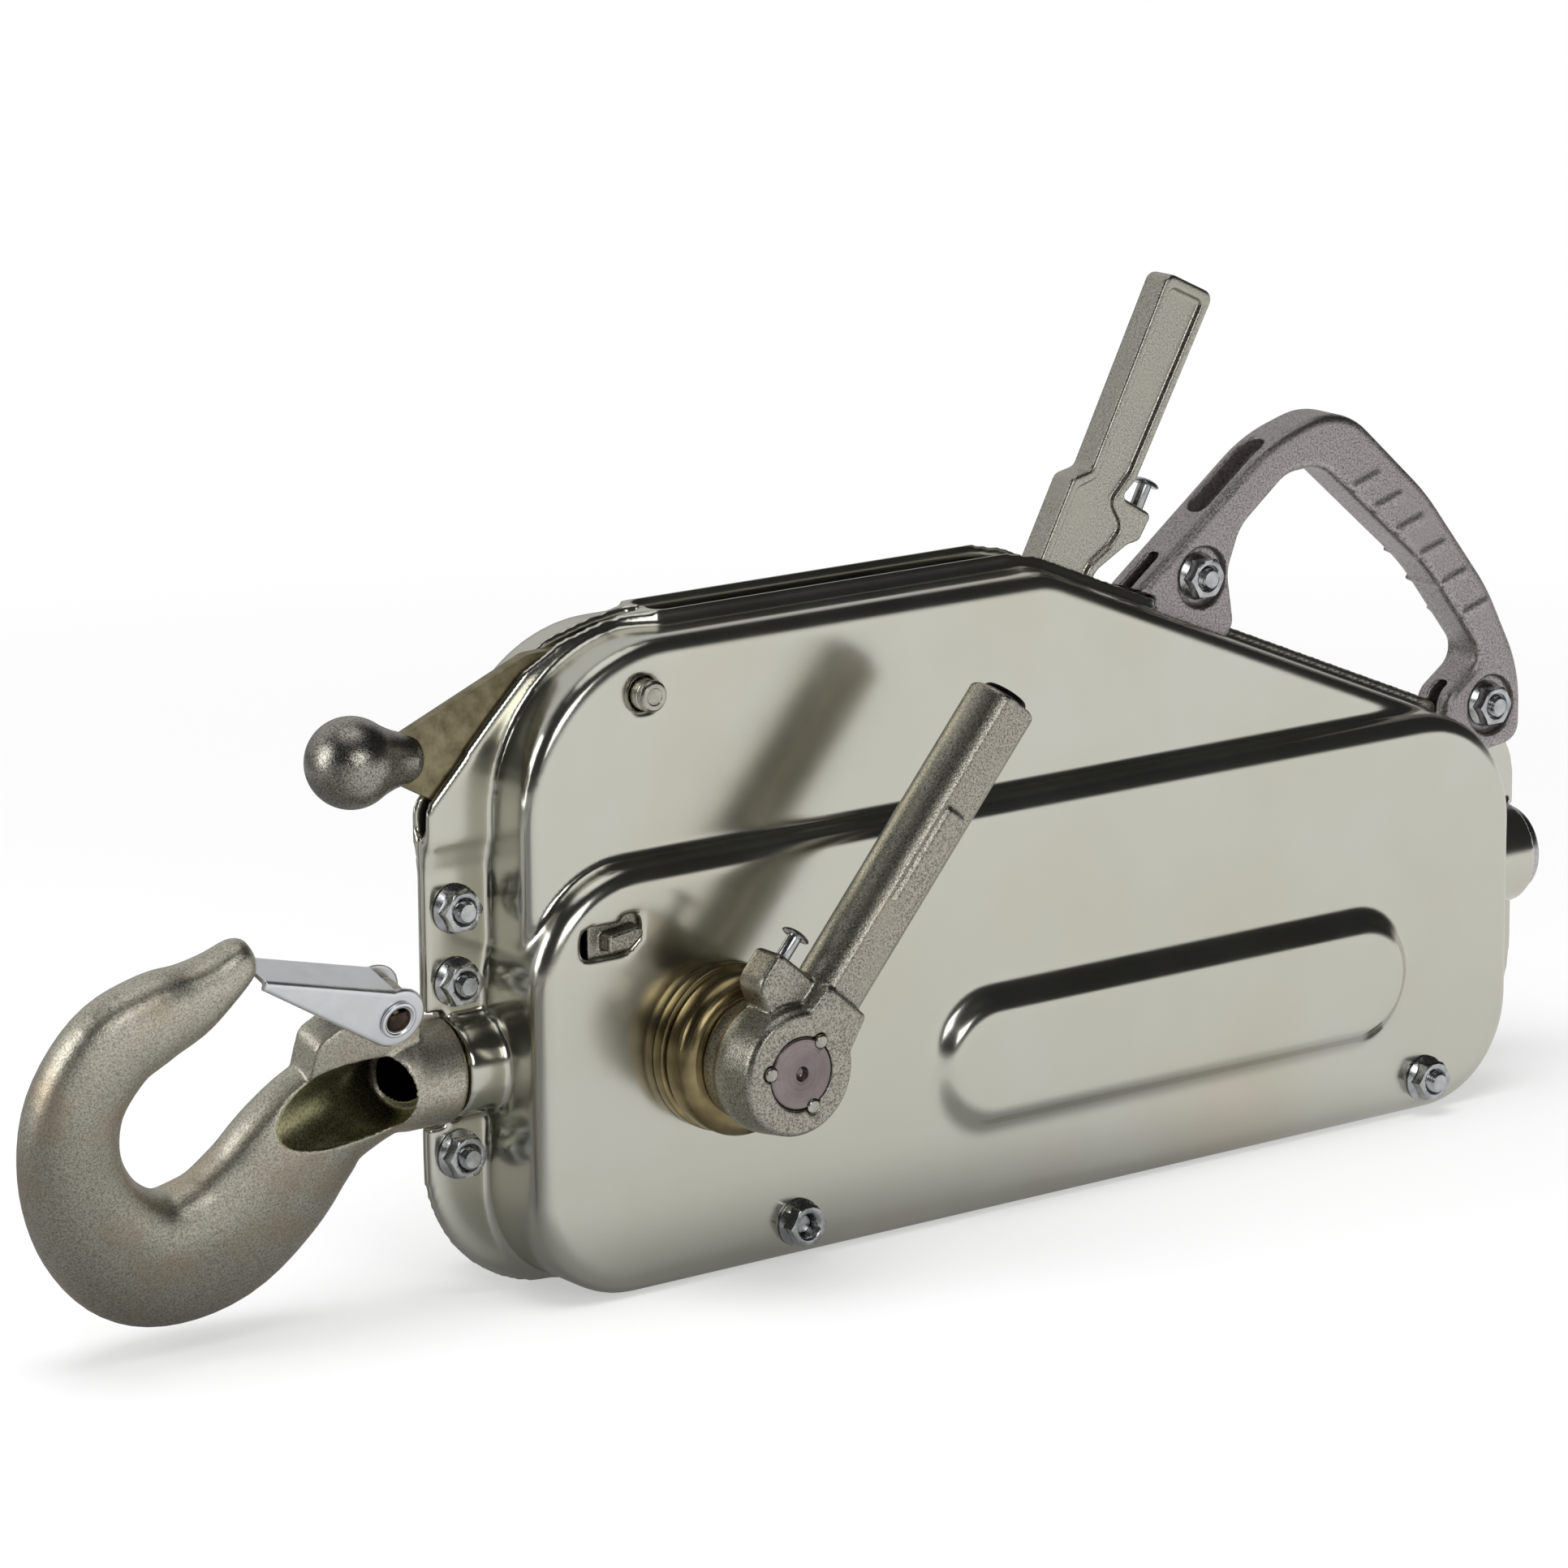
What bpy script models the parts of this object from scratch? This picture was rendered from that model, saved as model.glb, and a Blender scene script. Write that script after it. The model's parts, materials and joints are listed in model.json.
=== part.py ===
"""Steel-cased jaw winch (come along): two pressed shells round a pair of rope jaws.

Lengths are in millimetres in the winch's own drawing frame, and the mesh builders turn
them to metres.  In that frame X runs along the rope from the anchor hook (-X) to the rope
guide (+X), Y is the width with the operating lever on -Y, and Z is up.  The rope runs
through Y = 0, Z = 0, and X = 0 is the hook-side edge of the casing flange.
"""
import math

import bmesh
import bpy
from mathutils import Matrix, Vector

MM = 0.001

# ---------------------------------------------------------------- general fits
GAP = 0.3                 # between faces that touch or are pressed together
RUN = 0.5                 # radial running clearance of a shaft in its bearing
PLAY = 0.8                # side play of a drive pin in its slot

# ---------------------------------------------------------------- where it stands
BASE_Z = -106.0           # the flat underside, below the rope line
STAND_X = 217.3           # the middle of the whole length, from the flange edge
STAND_Y = -26.0           # the middle of the whole width, from the joint plane

# ---------------------------------------------------------------- pressed casing
WALL = 3.0                # steel sheet
BULGE_Y = 45.5            # half width over the lower bulge
PANEL_Y = 33.5            # half width over the upper panel
BULGE_EDGE = 9.0          # rounding of the bulge's front edge
PANEL_EDGE = 7.0          # rounding of the panel's front edge
FLANGE_LEFT = 0.0
FLANGE_RIGHT = 632.0
FLANGE_TOP = 190.0
BULGE_LEFT = 31.0
BULGE_RIGHT = 594.0
BULGE_TOP = 87.5
PANEL_LEFT = 34.0
PANEL_TOP = 183.0
LIP_RISE = 7.0            # the lips of the lever slot stand this far above the top wall
SLOPE_X = 320.0           # where the flat top turns into the slope
SLOPE_FALL = 0.418        # fall of the slope for each millimetre of length
SLOT_LEFT = 119.0         # lever slot in the top, from here
SLOT_RIGHT = 395.0        # to here
SLOT_HALF = 11.0          # half width of the lever slot
CATCH_SLOT = (52.5, 83.5, 50.5, 63.5)      # x from, x to, z from, z to

EMBOSS_LEFT = 241.0
EMBOSS_RIGHT = 527.0
EMBOSS_LOW = -66.6
EMBOSS_HIGH = 1.9
EMBOSS_RISE = 7.5
EMBOSS_SLOPE = 11.0

# ---------------------------------------------------------------- rope path
ROPE_BORE = 11.0          # radius of every bore the rope runs through
SOCKET_R = 22.5           # outer radius of the round sockets pressed in the shells
SOCKET_START = 9.6        # the hook collar turns in a notch of the flange up to here
SOCKET_END = 46.0         # how far the hook socket reaches into the casing
GUIDE_START = 570.0
GUIDE_END = 634.0
GUIDE_R = 22.0

# ---------------------------------------------------------------- operating crank
CRANK_X = 126.5
CRANK_REST = 40.0         # degrees that the lever leans from upright, at rest
SHAFT_R = 16.0
CRANK_PIN_RADIUS = 22.0   # crank pins from the shaft axis
CRANK_PIN_R = 5.0
WEB_IN = 25.0             # crank webs, from the joint plane
WEB_OUT = 31.0
WEB_R = 31.0
REAR_JOURNAL_R = 13.0
BEARING_R = 37.5          # outer radius of the bearing rings
BEARING_FACE = 69.0       # front of the bearing rings
BEARING_WALL = 5.0        # of the bearing sleeve inside the casing
REAR_CAP_R = 30.0
REAR_CAP_FACE = 53.0

HUB_BACK = 69.6           # the lever's hub, from the joint plane
HUB_FACE = 104.0
HUB_R = 30.5
HUB_FACE_R = 27.3
ARM_Y = 89.2              # the lever arm's axis
ARM_R = 15.6
ARM_FLAT = 102.6          # the flat on the arm's front
ARM_END = 189.5           # from the shaft axis
ARM_BORE_R = 10.5
ARM_BORE_DEPTH = 90.0
SHEAR_PIN_R = 3.2
SHEAR_PIN_DEPTH = 22.0
SHEAR_PIN_CIRCLE = 16.5

# ---------------------------------------------------------------- reversing lever
REVERSE_X = 254.0
REVERSE_REST = 28.0
REVERSE_PIN_RADIUS = 33.0
REVERSE_PIN_R = 4.5
REVERSE_PIVOT_R = 8.0
LEVER_HALF = 7.5          # half thickness of the reversing lever
BRIDGE_LOW = 63.0         # the fork's bridge, along the lever from its pivot
BRIDGE_HIGH = 79.0

# ---------------------------------------------------------------- jaws and carriages
FRONT_PLATE = (13.0, 18.0)      # side plates of the front carriage, inner and outer face
REAR_PLATE = (19.0, 24.0)       # side plates of the rear carriage
ARM_LOW = 7.0             # the carriages' arms lie between these heights
ARM_HIGH = 42.0
JAW_GAP = 1.5             # half the opening between closed jaws
JAW_TOP = 28.0
JAW_LENGTH = 62.0
FRONT_JAW_X = 200.0
REAR_JAW_X = 384.0
JAW_TRAVEL = 4.0
JAW_PIN_R = 4.0
JAW_TEETH = 3

# ---------------------------------------------------------------- release gear
RELEASE_X = 96.0
RELEASE_Z = 159.4
RELEASE_PIN_R = 7.0
RELEASE_PIN_OUT = 7.5     # how far the pin's heads stand out of the shells
RELEASE_HALF = 3.0        # half thickness of the lever plate
RELEASE_ARM = 45.0        # inner arm, from the pivot to the cross pin
RELEASE_ARM_PIN_R = 4.0
BAR_Y = (24.7, 29.7)      # the release bar, inner and outer face
BALL_R = 20.0
BALL_X = -33.3
BALL_Z = 142.0
JOGGLE_Y = (3.6, 6.6)     # the flanges spread to here round the release lever

# ---------------------------------------------------------------- anchor hook
COLLAR_R = 24.0           # the hook's shank outside the casing
COLLAR_FACE = 8.6
NECK_R = 15.6             # the shank inside the anchor bush
NECK_END = 60.0
RING_X = 50.0             # the retaining ring behind the bush
HOOK_REST = 17.0          # degrees that the hook has swivelled about the rope, at rest
LATCH_X = -27.2
LATCH_Z = 38.4
LATCH_LEAN = 14.8         # degrees that the closed latch rises towards its tip
LATCH_LENGTH = 76.4
LATCH_TOP = 12.5          # top of the latch above its pin
LATCH_END_R = 14.2        # rounding of its cheeks about the pin
LATCH_PIN_R = 5.0
LATCH_OUT = 12.0          # half width over the latch's cheeks
LATCH_SHEET = 2.0

# ---------------------------------------------------------------- carrying handle
HANDLE_HALF = 12.0
HANDLE_SLOT_HALF = 3.6
HANDLE_BOLTS = ((427.0, 163.4), (608.0, 77.0))
TAB_R = 12.0
COUNTERBORE_R = 14.5
COUNTERBORE_DEPTH = 4.5
GRIP_PADS = 5             # shallow pads for the fingers, between low ribs

# ---------------------------------------------------------------- fasteners
BOLT_R = 5.0              # M10
NUT_AF = 17.0
NUT_H = 8.4
FLANGE_BOLTS = ((15.5, 71.0), (15.5, 38.4), (15.5, -39.1))
TIE_BOLTS = ((167.0, -89.0), (538.0, -89.0))
SPACER_R = 8.5

ROUND = 24                # sides of a large turned piece
SMALL = 12                # sides of a pin or bolt
PAN_STEPS = 4             # flats round each corner of the pressed pans

COLOURS = {
    "casing steel": ((0.62, 0.61, 0.54), 0.32, 1.0),
    "forged steel": ((0.36, 0.34, 0.29), 0.55, 1.0),
    "bright zinc": ((0.68, 0.71, 0.76), 0.30, 1.0),
    "machined steel": ((0.50, 0.48, 0.46), 0.28, 1.0),
    "cast aluminium": ((0.52, 0.50, 0.50), 0.60, 1.0),
    "passivated brass": ((0.50, 0.40, 0.20), 0.35, 1.0),
    "tool steel": ((0.30, 0.30, 0.30), 0.40, 1.0),
}


# ================================================================ scene helpers
def clear_scene():
    for old in list(bpy.data.objects):
        bpy.data.objects.remove(old, do_unlink=True)


def material(name):
    """Return the material of that name, made on its first use."""
    found = bpy.data.materials.get(name)
    if found:
        return found
    colour, roughness, metallic = COLOURS[name]
    found = bpy.data.materials.new(name)
    found.use_nodes = True
    shader = found.node_tree.nodes["Principled BSDF"]
    shader.inputs["Base Color"].default_value = (*colour, 1.0)
    shader.inputs["Roughness"].default_value = roughness
    shader.inputs["Metallic"].default_value = metallic
    return found


def new_object(name, bm, material_name=None, smooth=35.0):
    """Turn a bmesh in millimetres into an object in metres."""
    bmesh.ops.recalc_face_normals(bm, faces=bm.faces)
    mesh = bpy.data.meshes.new(name)
    bm.to_mesh(mesh)
    bm.free()
    mesh.transform(Matrix.Scale(MM, 4))
    obj = bpy.data.objects.new(name, mesh)
    bpy.context.collection.objects.link(obj)
    if material_name:
        mesh.materials.append(material(material_name))
        mesh.shade_smooth()
        mesh.set_sharp_from_angle(angle=math.radians(smooth))
    return obj


def combine(obj, tool, operation):
    """Join a tool object to obj, or cut with it, and remove the tool."""
    cut = obj.modifiers.new(operation.lower(), "BOOLEAN")
    cut.operation = operation
    cut.solver = "EXACT"
    cut.object = tool
    tool.hide_render = True
    tool.display_type = "WIRE"
    graph = bpy.context.evaluated_depsgraph_get()
    result = bpy.data.meshes.new_from_object(obj.evaluated_get(graph))
    obj.modifiers.clear()
    bm = bmesh.new()
    bm.from_mesh(result)
    bmesh.ops.remove_doubles(bm, verts=bm.verts, dist=0.000005)
    bmesh.ops.dissolve_degenerate(bm, edges=bm.edges, dist=0.000002)
    bm.to_mesh(result)
    bm.free()
    obj.data = result
    bpy.data.objects.remove(tool, do_unlink=True)
    return obj


def join(obj, *tools):
    for tool in tools:
        combine(obj, tool, "UNION")
    return obj


def cut(obj, *tools):
    for tool in tools:
        combine(obj, tool, "DIFFERENCE")
    return obj


def finish(obj, name, material_name, smooth=35.0):
    """Name a finished piece, clean its mesh and give it its material."""
    obj.name = name
    mesh = obj.data
    bm = bmesh.new()
    bm.from_mesh(mesh)
    bmesh.ops.remove_doubles(bm, verts=bm.verts, dist=0.00002)
    bmesh.ops.dissolve_degenerate(bm, edges=bm.edges, dist=0.00001)
    bm.to_mesh(mesh)
    bm.free()
    mesh.materials.clear()
    mesh.materials.append(material(material_name))
    mesh.shade_smooth()
    mesh.set_sharp_from_angle(angle=math.radians(smooth))
    return obj


# ================================================================ outlines in the XZ plane
def arc(cx, cz, radius, start, end, steps):
    """Points on an arc, angles in degrees from +X towards +Z, both ends included."""
    points = []
    for i in range(steps + 1):
        a = math.radians(start + (end - start) * i / steps)
        points.append((cx + radius * math.cos(a), cz + radius * math.sin(a)))
    return points


def circle(cx, cz, radius, sides):
    return arc(cx, cz, radius, 0.0, 360.0, sides)[:-1]


def rounded(corners, steps=6):
    """Outline through corners (x, z, radius), each rounded by its own radius."""
    outline = []
    count = len(corners)
    for i, (x, z, radius) in enumerate(corners):
        here = Vector((x, z))
        before = (Vector(corners[i - 1][:2]) - here).normalized()
        after = (Vector(corners[(i + 1) % count][:2]) - here).normalized()
        if radius <= 0.0:
            outline.append((x, z))
            continue
        half = before.angle(after) / 2.0
        reach = radius / math.tan(half)
        centre = here + (before + after).normalized() * (radius / math.sin(half))
        first = here + before * reach - centre
        turn = first.angle_signed(here + after * reach - centre)
        for k in range(steps + 1):
            spoke = first.copy()
            spoke.rotate(Matrix.Rotation(-turn * k / steps, 2))
            outline.append(tuple(centre + spoke))
    return outline


def inward_normals(points):
    """Unit normals of a closed outline's edges, each edge leaving its point, pointing in."""
    ends = points[1:] + points[:1]
    area = sum(a[0] * b[1] - b[0] * a[1] for a, b in zip(points, ends))
    side = 1.0 if area > 0.0 else -1.0
    normals = []
    for a, b in zip(points, ends):
        along = Vector((b[0] - a[0], b[1] - a[1])).normalized()
        normals.append(Vector((-along.y, along.x)) * side)
    return normals, side


def shifted(outline, distance):
    """Outline moved inwards by distance, point by point."""
    points = [(p[0], p[1]) for p in outline]
    normals, _ = inward_normals(points)
    moved = []
    for i, point in enumerate(points):
        total = normals[i - 1] + normals[i]
        reach = distance / max(0.35, 1.0 + normals[i - 1].dot(normals[i]))
        moved.append(tuple(Vector(point) + total * reach))
    return moved


def inset_corners(corners, distance):
    """Corners of the outline that runs distance inside another, with matching radii."""
    moved = shifted(corners, distance)
    normals, side = inward_normals([(c[0], c[1]) for c in corners])
    result = []
    for i, (x, z) in enumerate(moved):
        turn = normals[i - 1].x * normals[i].y - normals[i - 1].y * normals[i].x
        change = -distance if turn * side > 0.0 else distance
        radius = corners[i][2]
        result.append((x, z, max(0.4, radius + change) if radius else 0.0))
    return result


# ================================================================ solids
def stack(rings, closed_ends=True):
    """Solid through rings of equal point count, each a list of (x, y, z)."""
    bm = bmesh.new()
    loops = []
    for ring in rings:
        loops.append([bm.verts.new(p) for p in ring])
    count = len(loops[0])
    for low, high in zip(loops, loops[1:]):
        for i in range(count):
            j = (i + 1) % count
            bm.faces.new((low[i], low[j], high[j], high[i]))
    if closed_ends:
        bm.faces.new(loops[0])
        bm.faces.new(loops[-1])
    else:
        for i in range(count):
            j = (i + 1) % count
            bm.faces.new((loops[-1][i], loops[-1][j], loops[0][j], loops[0][i]))
    return bm


def slab(outline, y0, y1, name="slab"):
    """An outline in XZ extruded along Y."""
    rings = [[(x, y, z) for x, z in outline] for y in (y0, y1)]
    return new_object(name, stack(rings))


def soft_slab(outline, y0, y1, edge, name="slab"):
    """A slab whose two faces have a rounded border."""
    direction = 1.0 if y1 > y0 else -1.0
    steps = ((edge, 0.0), (0.0, edge))
    rings = []
    for inset, depth in steps:
        rings.append([(x, y0 + direction * depth, z) for x, z in shifted(outline, inset)])
    for inset, depth in reversed(steps):
        rings.append([(x, y1 - direction * depth, z) for x, z in shifted(outline, inset)])
    return new_object(name, stack(rings))


def pressed(corners, side, y_start, y_face, edge, inset=0.0, steps=3, name="pressed"):
    """A drawn pan: straight walls from y_start, a rounded edge, then a flat face."""
    rings = []
    for y, extra in pan_profile(y_start, y_face, edge, steps):
        outline = rounded(inset_corners(corners, inset + extra), PAN_STEPS)
        rings.append([(x, side * y, z) for x, z in outline])
    return new_object(name, stack(rings))


def pan_profile(y_start, y_face, edge, steps):
    profile = [(y_start, 0.0)]
    for i in range(steps + 1):
        a = math.radians(90.0 * i / steps)
        profile.append((y_face - edge + edge * math.sin(a), edge - edge * math.cos(a)))
    return profile


def lathe(profile, axis, centre, sides=ROUND, name="lathe"):
    """Turn a closed profile of (radius, position) about an axis through centre.

    Points with radius 0 close the piece on its axis.
    """
    rings = []
    bm = bmesh.new()
    cx, cy, cz = centre
    for radius, along in profile:
        ring = []
        for i in range(1 if radius == 0.0 else sides):
            a = 2.0 * math.pi * i / sides
            u = radius * math.cos(a)
            v = radius * math.sin(a)
            point = {"X": (along, cy + u, cz + v),
                     "Y": (cx + u, along, cz + v),
                     "Z": (cx + u, cy + v, along)}[axis]
            ring.append(bm.verts.new(point))
        rings.append(ring)
    closed = len(rings[0]) > 1
    pairs = list(zip(rings, rings[1:]))
    if closed:
        pairs.append((rings[-1], rings[0]))
    for a, b in pairs:
        for i in range(sides):
            j = (i + 1) % sides
            if len(a) == 1 and len(b) > 1:
                bm.faces.new((a[0], b[i], b[j]))
            elif len(b) == 1 and len(a) > 1:
                bm.faces.new((a[i], a[j], b[0]))
            elif len(a) > 1 and len(b) > 1:
                bm.faces.new((a[i], a[j], b[j], b[i]))
    return new_object(name, bm)


def rod(axis, centre, radius, start, end, sides=SMALL, chamfer=0.0, name="rod"):
    """A round bar along an axis, with optional chamfers at its two ends."""
    low, high = sorted((start, end))
    profile = [(0.0, low), (radius - chamfer, low)]
    if chamfer:
        profile += [(radius, low + chamfer), (radius, high - chamfer)]
        profile += [(radius - chamfer, high), (0.0, high)]
    else:
        profile += [(radius, high), (0.0, high)]
        profile[1] = (radius, low)
    return lathe(profile, axis, centre, sides, name)


def box(x0, x1, y0, y1, z0, z1, name="box"):
    return slab([(x0, z0), (x1, z0), (x1, z1), (x0, z1)], y0, y1, name)


def place(obj, matrix):
    """Move a mesh by a matrix whose translation is in millimetres."""
    move = matrix.copy()
    move.translation = move.translation * MM
    obj.data.transform(move)
    return obj


def hexagon(x, z, across, y0, y1, edge=1.0):
    """A nut or bolt head with chamfered corners, its axis along Y."""
    corner = across / math.sqrt(3.0)
    outline = circle(x, z, corner, 6)
    low, high = sorted((y0, y1))
    rings = []
    for inset, y in ((edge, low), (0.0, low + edge * 0.6), (0.0, high - edge * 0.6), (edge, high)):
        rings.append([(px, y, pz) for px, pz in shifted(outline, inset)])
    return new_object("hexagon", stack(rings))


# ================================================================ the pressed casing
def slope_z(x):
    """Top edge of the flange on the sloping side."""
    return FLANGE_TOP - SLOPE_FALL * (x - SLOPE_X)


def flange_corners():
    low_right_x = FLANGE_RIGHT
    return [
        (FLANGE_LEFT, BASE_Z, 66.0),
        (low_right_x, BASE_Z, 60.0),
        (low_right_x, slope_z(low_right_x), 34.0),
        (SLOPE_X, FLANGE_TOP, 40.0),
        (112.0, FLANGE_TOP, 14.0),
        (72.0, 183.0, 60.0),
        (34.5, 153.9, 40.0),
        (FLANGE_LEFT, 116.2, 8.0),
    ]


def bulge_corners():
    return [
        (BULGE_LEFT, BASE_Z, 50.0),
        (BULGE_RIGHT, BASE_Z, 50.0),
        (BULGE_RIGHT, BULGE_TOP, 58.0),
        (BULGE_LEFT, BULGE_TOP, 52.0),
    ]


def panel_corners():
    drop = PANEL_TOP - FLANGE_TOP
    right = 575.0
    return [
        (PANEL_LEFT, 10.0, 4.0),
        (right, 10.0, 4.0),
        (right, slope_z(right) + drop, 6.0),
        (SLOPE_X, PANEL_TOP, 40.0),
        (PANEL_LEFT, PANEL_TOP, 74.0),
    ]


def emboss_outline(inset):
    half = (EMBOSS_HIGH - EMBOSS_LOW) / 2.0 - inset
    middle = (EMBOSS_HIGH + EMBOSS_LOW) / 2.0
    reach = half + inset
    left = arc(EMBOSS_LEFT + reach, middle, half, 90.0, 270.0, 7)
    right = arc(EMBOSS_RIGHT - reach, middle, half, -90.0, 90.0, 7)
    return left + right


def emboss(side, shift, extra):
    """The long raised pad on the bulge, with its soft sloping border."""
    rings = []
    profile = ((0.0, -2.0), (0.0, 0.0), (0.3, 0.15), (0.75, 0.85), (1.05, 1.0))
    for along, rise in profile:
        inset = along * EMBOSS_SLOPE + extra
        y = BULGE_Y - shift + (rise if rise < 0.0 else rise * EMBOSS_RISE)
        rings.append([(x, side * y, z) for x, z in emboss_outline(inset)])
    return new_object("emboss", stack(rings))


def lip_outline():
    """The upstanding lip along the lever slot, and the wall it stands on."""
    left = SLOT_LEFT - WALL
    right = SLOT_RIGHT + WALL
    top = [(left, FLANGE_TOP), (SLOPE_X - 8.0, FLANGE_TOP), (SLOPE_X + 8.0, slope_z(SLOPE_X + 8.0))]
    top.append((right, slope_z(right)))
    sunk = LIP_RISE + WALL * 0.6
    low = [(right, slope_z(right) - sunk), (SLOPE_X + 8.0, slope_z(SLOPE_X + 8.0) - sunk)]
    low += [(SLOPE_X - 8.0, FLANGE_TOP - sunk), (left, FLANGE_TOP - sunk)]
    return top + low


def joggle_outline():
    """The part of the flange that spreads to let the release lever through."""
    edge = [(0.0, 100.0), (0.0, 114.0), (3.0, 119.8), (34.5, 153.9), (52.0, 170.6)]
    edge += [(72.0, 181.6), (95.0, 187.5), (112.0, FLANGE_TOP), (SLOT_LEFT, FLANGE_TOP)]
    edge += [(SLOT_LEFT, PANEL_TOP - 1.0), (106.0, PANEL_TOP - 1.0)]
    edge += [(82.0, 177.5), (60.0, 165.0), (45.0, 148.0), (36.5, 126.0), (35.5, 100.0)]
    return edge


def casing(side, name):
    """One pressed half: side is -1 for the front shell and +1 for the rear one."""
    start = GAP / 2.0
    shell = pressed(bulge_corners(), side, start, BULGE_Y, BULGE_EDGE)
    panel = pressed(panel_corners(), side, start, PANEL_Y, PANEL_EDGE)
    flange = slab(rounded(flange_corners(), 4), side * start, side * WALL)
    lip = slab(lip_outline(), side * SLOT_HALF, side * (SLOT_HALF + WALL))
    ends = [box(SLOT_LEFT - WALL, SLOT_LEFT + 0.1, side * start, side * (SLOT_HALF + WALL),
                PANEL_TOP - 2.0, FLANGE_TOP),
            box(SLOT_RIGHT - 0.1, SLOT_RIGHT + WALL, side * start, side * (SLOT_HALF + WALL),
                slope_z(SLOT_RIGHT) - LIP_RISE - 2.0, slope_z(SLOT_RIGHT + WALL))]
    tabs = []
    for x, z in HANDLE_BOLTS:
        foot = z - slope_z(x) + 14.0
        corners = [(x - TAB_R - 8.0, z - foot, 0.0), (x + TAB_R, z - foot - 2.0, 0.0),
                   (x + TAB_R, z + TAB_R, TAB_R * 0.9), (x - TAB_R, z + TAB_R, TAB_R * 0.9)]
        tabs.append(slab(rounded(corners, 5), side * start, side * WALL))
    socket = rod("X", (0.0, 0.0, 0.0), SOCKET_R, SOCKET_START, SOCKET_END, ROUND)
    ridge = lathe([(SOCKET_R - 1.0, 30.0), (SOCKET_R + 2.5, 33.0), (SOCKET_R + 2.5, 37.0),
                   (SOCKET_R - 1.0, 40.0)], "X", (0.0, 0.0, 0.0), ROUND)
    outlet = rod("X", (0.0, 0.0, 0.0), GUIDE_R + GAP + WALL, GUIDE_START + 6.0,
                 FLANGE_RIGHT - 4.0, ROUND)
    join(shell, panel, flange, lip, *ends, *tabs, socket, ridge, outlet)
    join(shell, emboss(side, 0.0, 0.0))

    hollow = pressed(bulge_corners(), side, -2.0, BULGE_Y - WALL, BULGE_EDGE - WALL, WALL)
    upper = pressed(panel_corners(), side, -2.0, PANEL_Y - WALL, PANEL_EDGE - WALL, WALL)
    join(hollow, upper)
    join(hollow, emboss(side, WALL, 2.0))
    cut(shell, hollow)
    cut(shell, box(-20.0, 660.0, -side * 60.0, side * start, -130.0, 230.0))
    cut(shell, rod("X", (0.0, 0.0, 0.0), SOCKET_R - WALL, -10.0, SOCKET_END + 10.0, ROUND))
    cut(shell, rod("X", (0.0, 0.0, 0.0), GUIDE_R + GAP, GUIDE_START - 10.0, 660.0, ROUND))
    notch = COLLAR_R + 1.5
    cut(shell, box(-10.0, SOCKET_START, -10.0, 10.0, -notch, notch))
    slot = slab([(SLOT_LEFT, 160.0), (SLOT_LEFT, 205.0), (SLOT_RIGHT, 205.0),
                 (SLOT_RIGHT, slope_z(SLOT_RIGHT) - 26.0), (SLOPE_X, 160.0)],
                side * -1.0, side * SLOT_HALF)
    lever_way = slab([(-6.0, 104.0), (60.0, 104.0), (SLOT_LEFT - WALL - 1.0, 150.0),
                      (SLOT_LEFT - WALL - 1.0, 205.0), (-6.0, 205.0)],
                     side * -1.0, side * JOGGLE_Y[0])
    cut(shell, slot, lever_way)
    joggle = slab(joggle_outline(), side * (JOGGLE_Y[0] - 0.05), side * JOGGLE_Y[1])
    step = slab([(0.3, 97.0), (0.3, 104.5), (35.2, 104.5), (35.2, 97.0)],
                side * start, side * JOGGLE_Y[1])
    join(shell, joggle, step)

    through = [(x, z, BOLT_R + GAP) for x, z in (*FLANGE_BOLTS, *TIE_BOLTS, *HANDLE_BOLTS)]
    through.append((RELEASE_X, RELEASE_Z, RELEASE_PIN_R + GAP))
    bore = (SHAFT_R if side < 0 else REAR_JOURNAL_R) + RUN + BEARING_WALL + GAP
    through.append((CRANK_X, 0.0, bore))
    for x, z, radius in through:
        sides = ROUND if radius > 10.0 else SMALL
        cut(shell, rod("Y", (x, 0.0, z), radius, -60.0, 60.0, sides))
    if side < 0:
        x0, x1, z0, z1 = CATCH_SLOT
        window = rounded([(x0, z0, 3.0), (x1 - 8.0, z0, 3.0), (x1, z0 + 5.0, 3.0),
                          (x1, z1 + 3.0, 2.0), (x1 - 9.0, z1 + 3.0, 1.0), (x1 - 9.0, z1, 1.0),
                          (x0, z1, 5.0)], 3)
        cut(shell, slab(window, -55.0, -38.0))
    return finish(shell, name, "casing steel")


# ================================================================ fasteners
def bolt(x, z, y_head, y_end, shaft_radius=BOLT_R):
    """Hexagon bolt along Y with its head outside y_head, ending at y_end."""
    out = 1.0 if y_head > y_end else -1.0
    piece = hexagon(x, z, NUT_AF - 0.2, y_head + out * GAP, y_head + out * 6.6)
    shank = rod("Y", (x, 0.0, z), shaft_radius, y_head + out * 3.0, y_end, SMALL, 0.8)
    return join(piece, shank)


def nut(x, z, y_seat, out, washer=True):
    """Flange nut on a face at y_seat; out is the side it stands out on."""
    low = y_seat + out * GAP
    body = hexagon(x, z, NUT_AF, low + out * 1.0, low + out * NUT_H)
    if washer:
        skirt = [(BOLT_R, low), (11.0, low), (11.0, low + out * 1.0), (8.6, low + out * 2.6),
                 (BOLT_R, low + out * 2.6)]
        join(body, lathe(skirt, "Y", (x, 0.0, z), SMALL))
    return cut(body, rod("Y", (x, 0.0, z), BOLT_R + GAP, low - out * 5.0, low + out * 20.0, SMALL))


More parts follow.
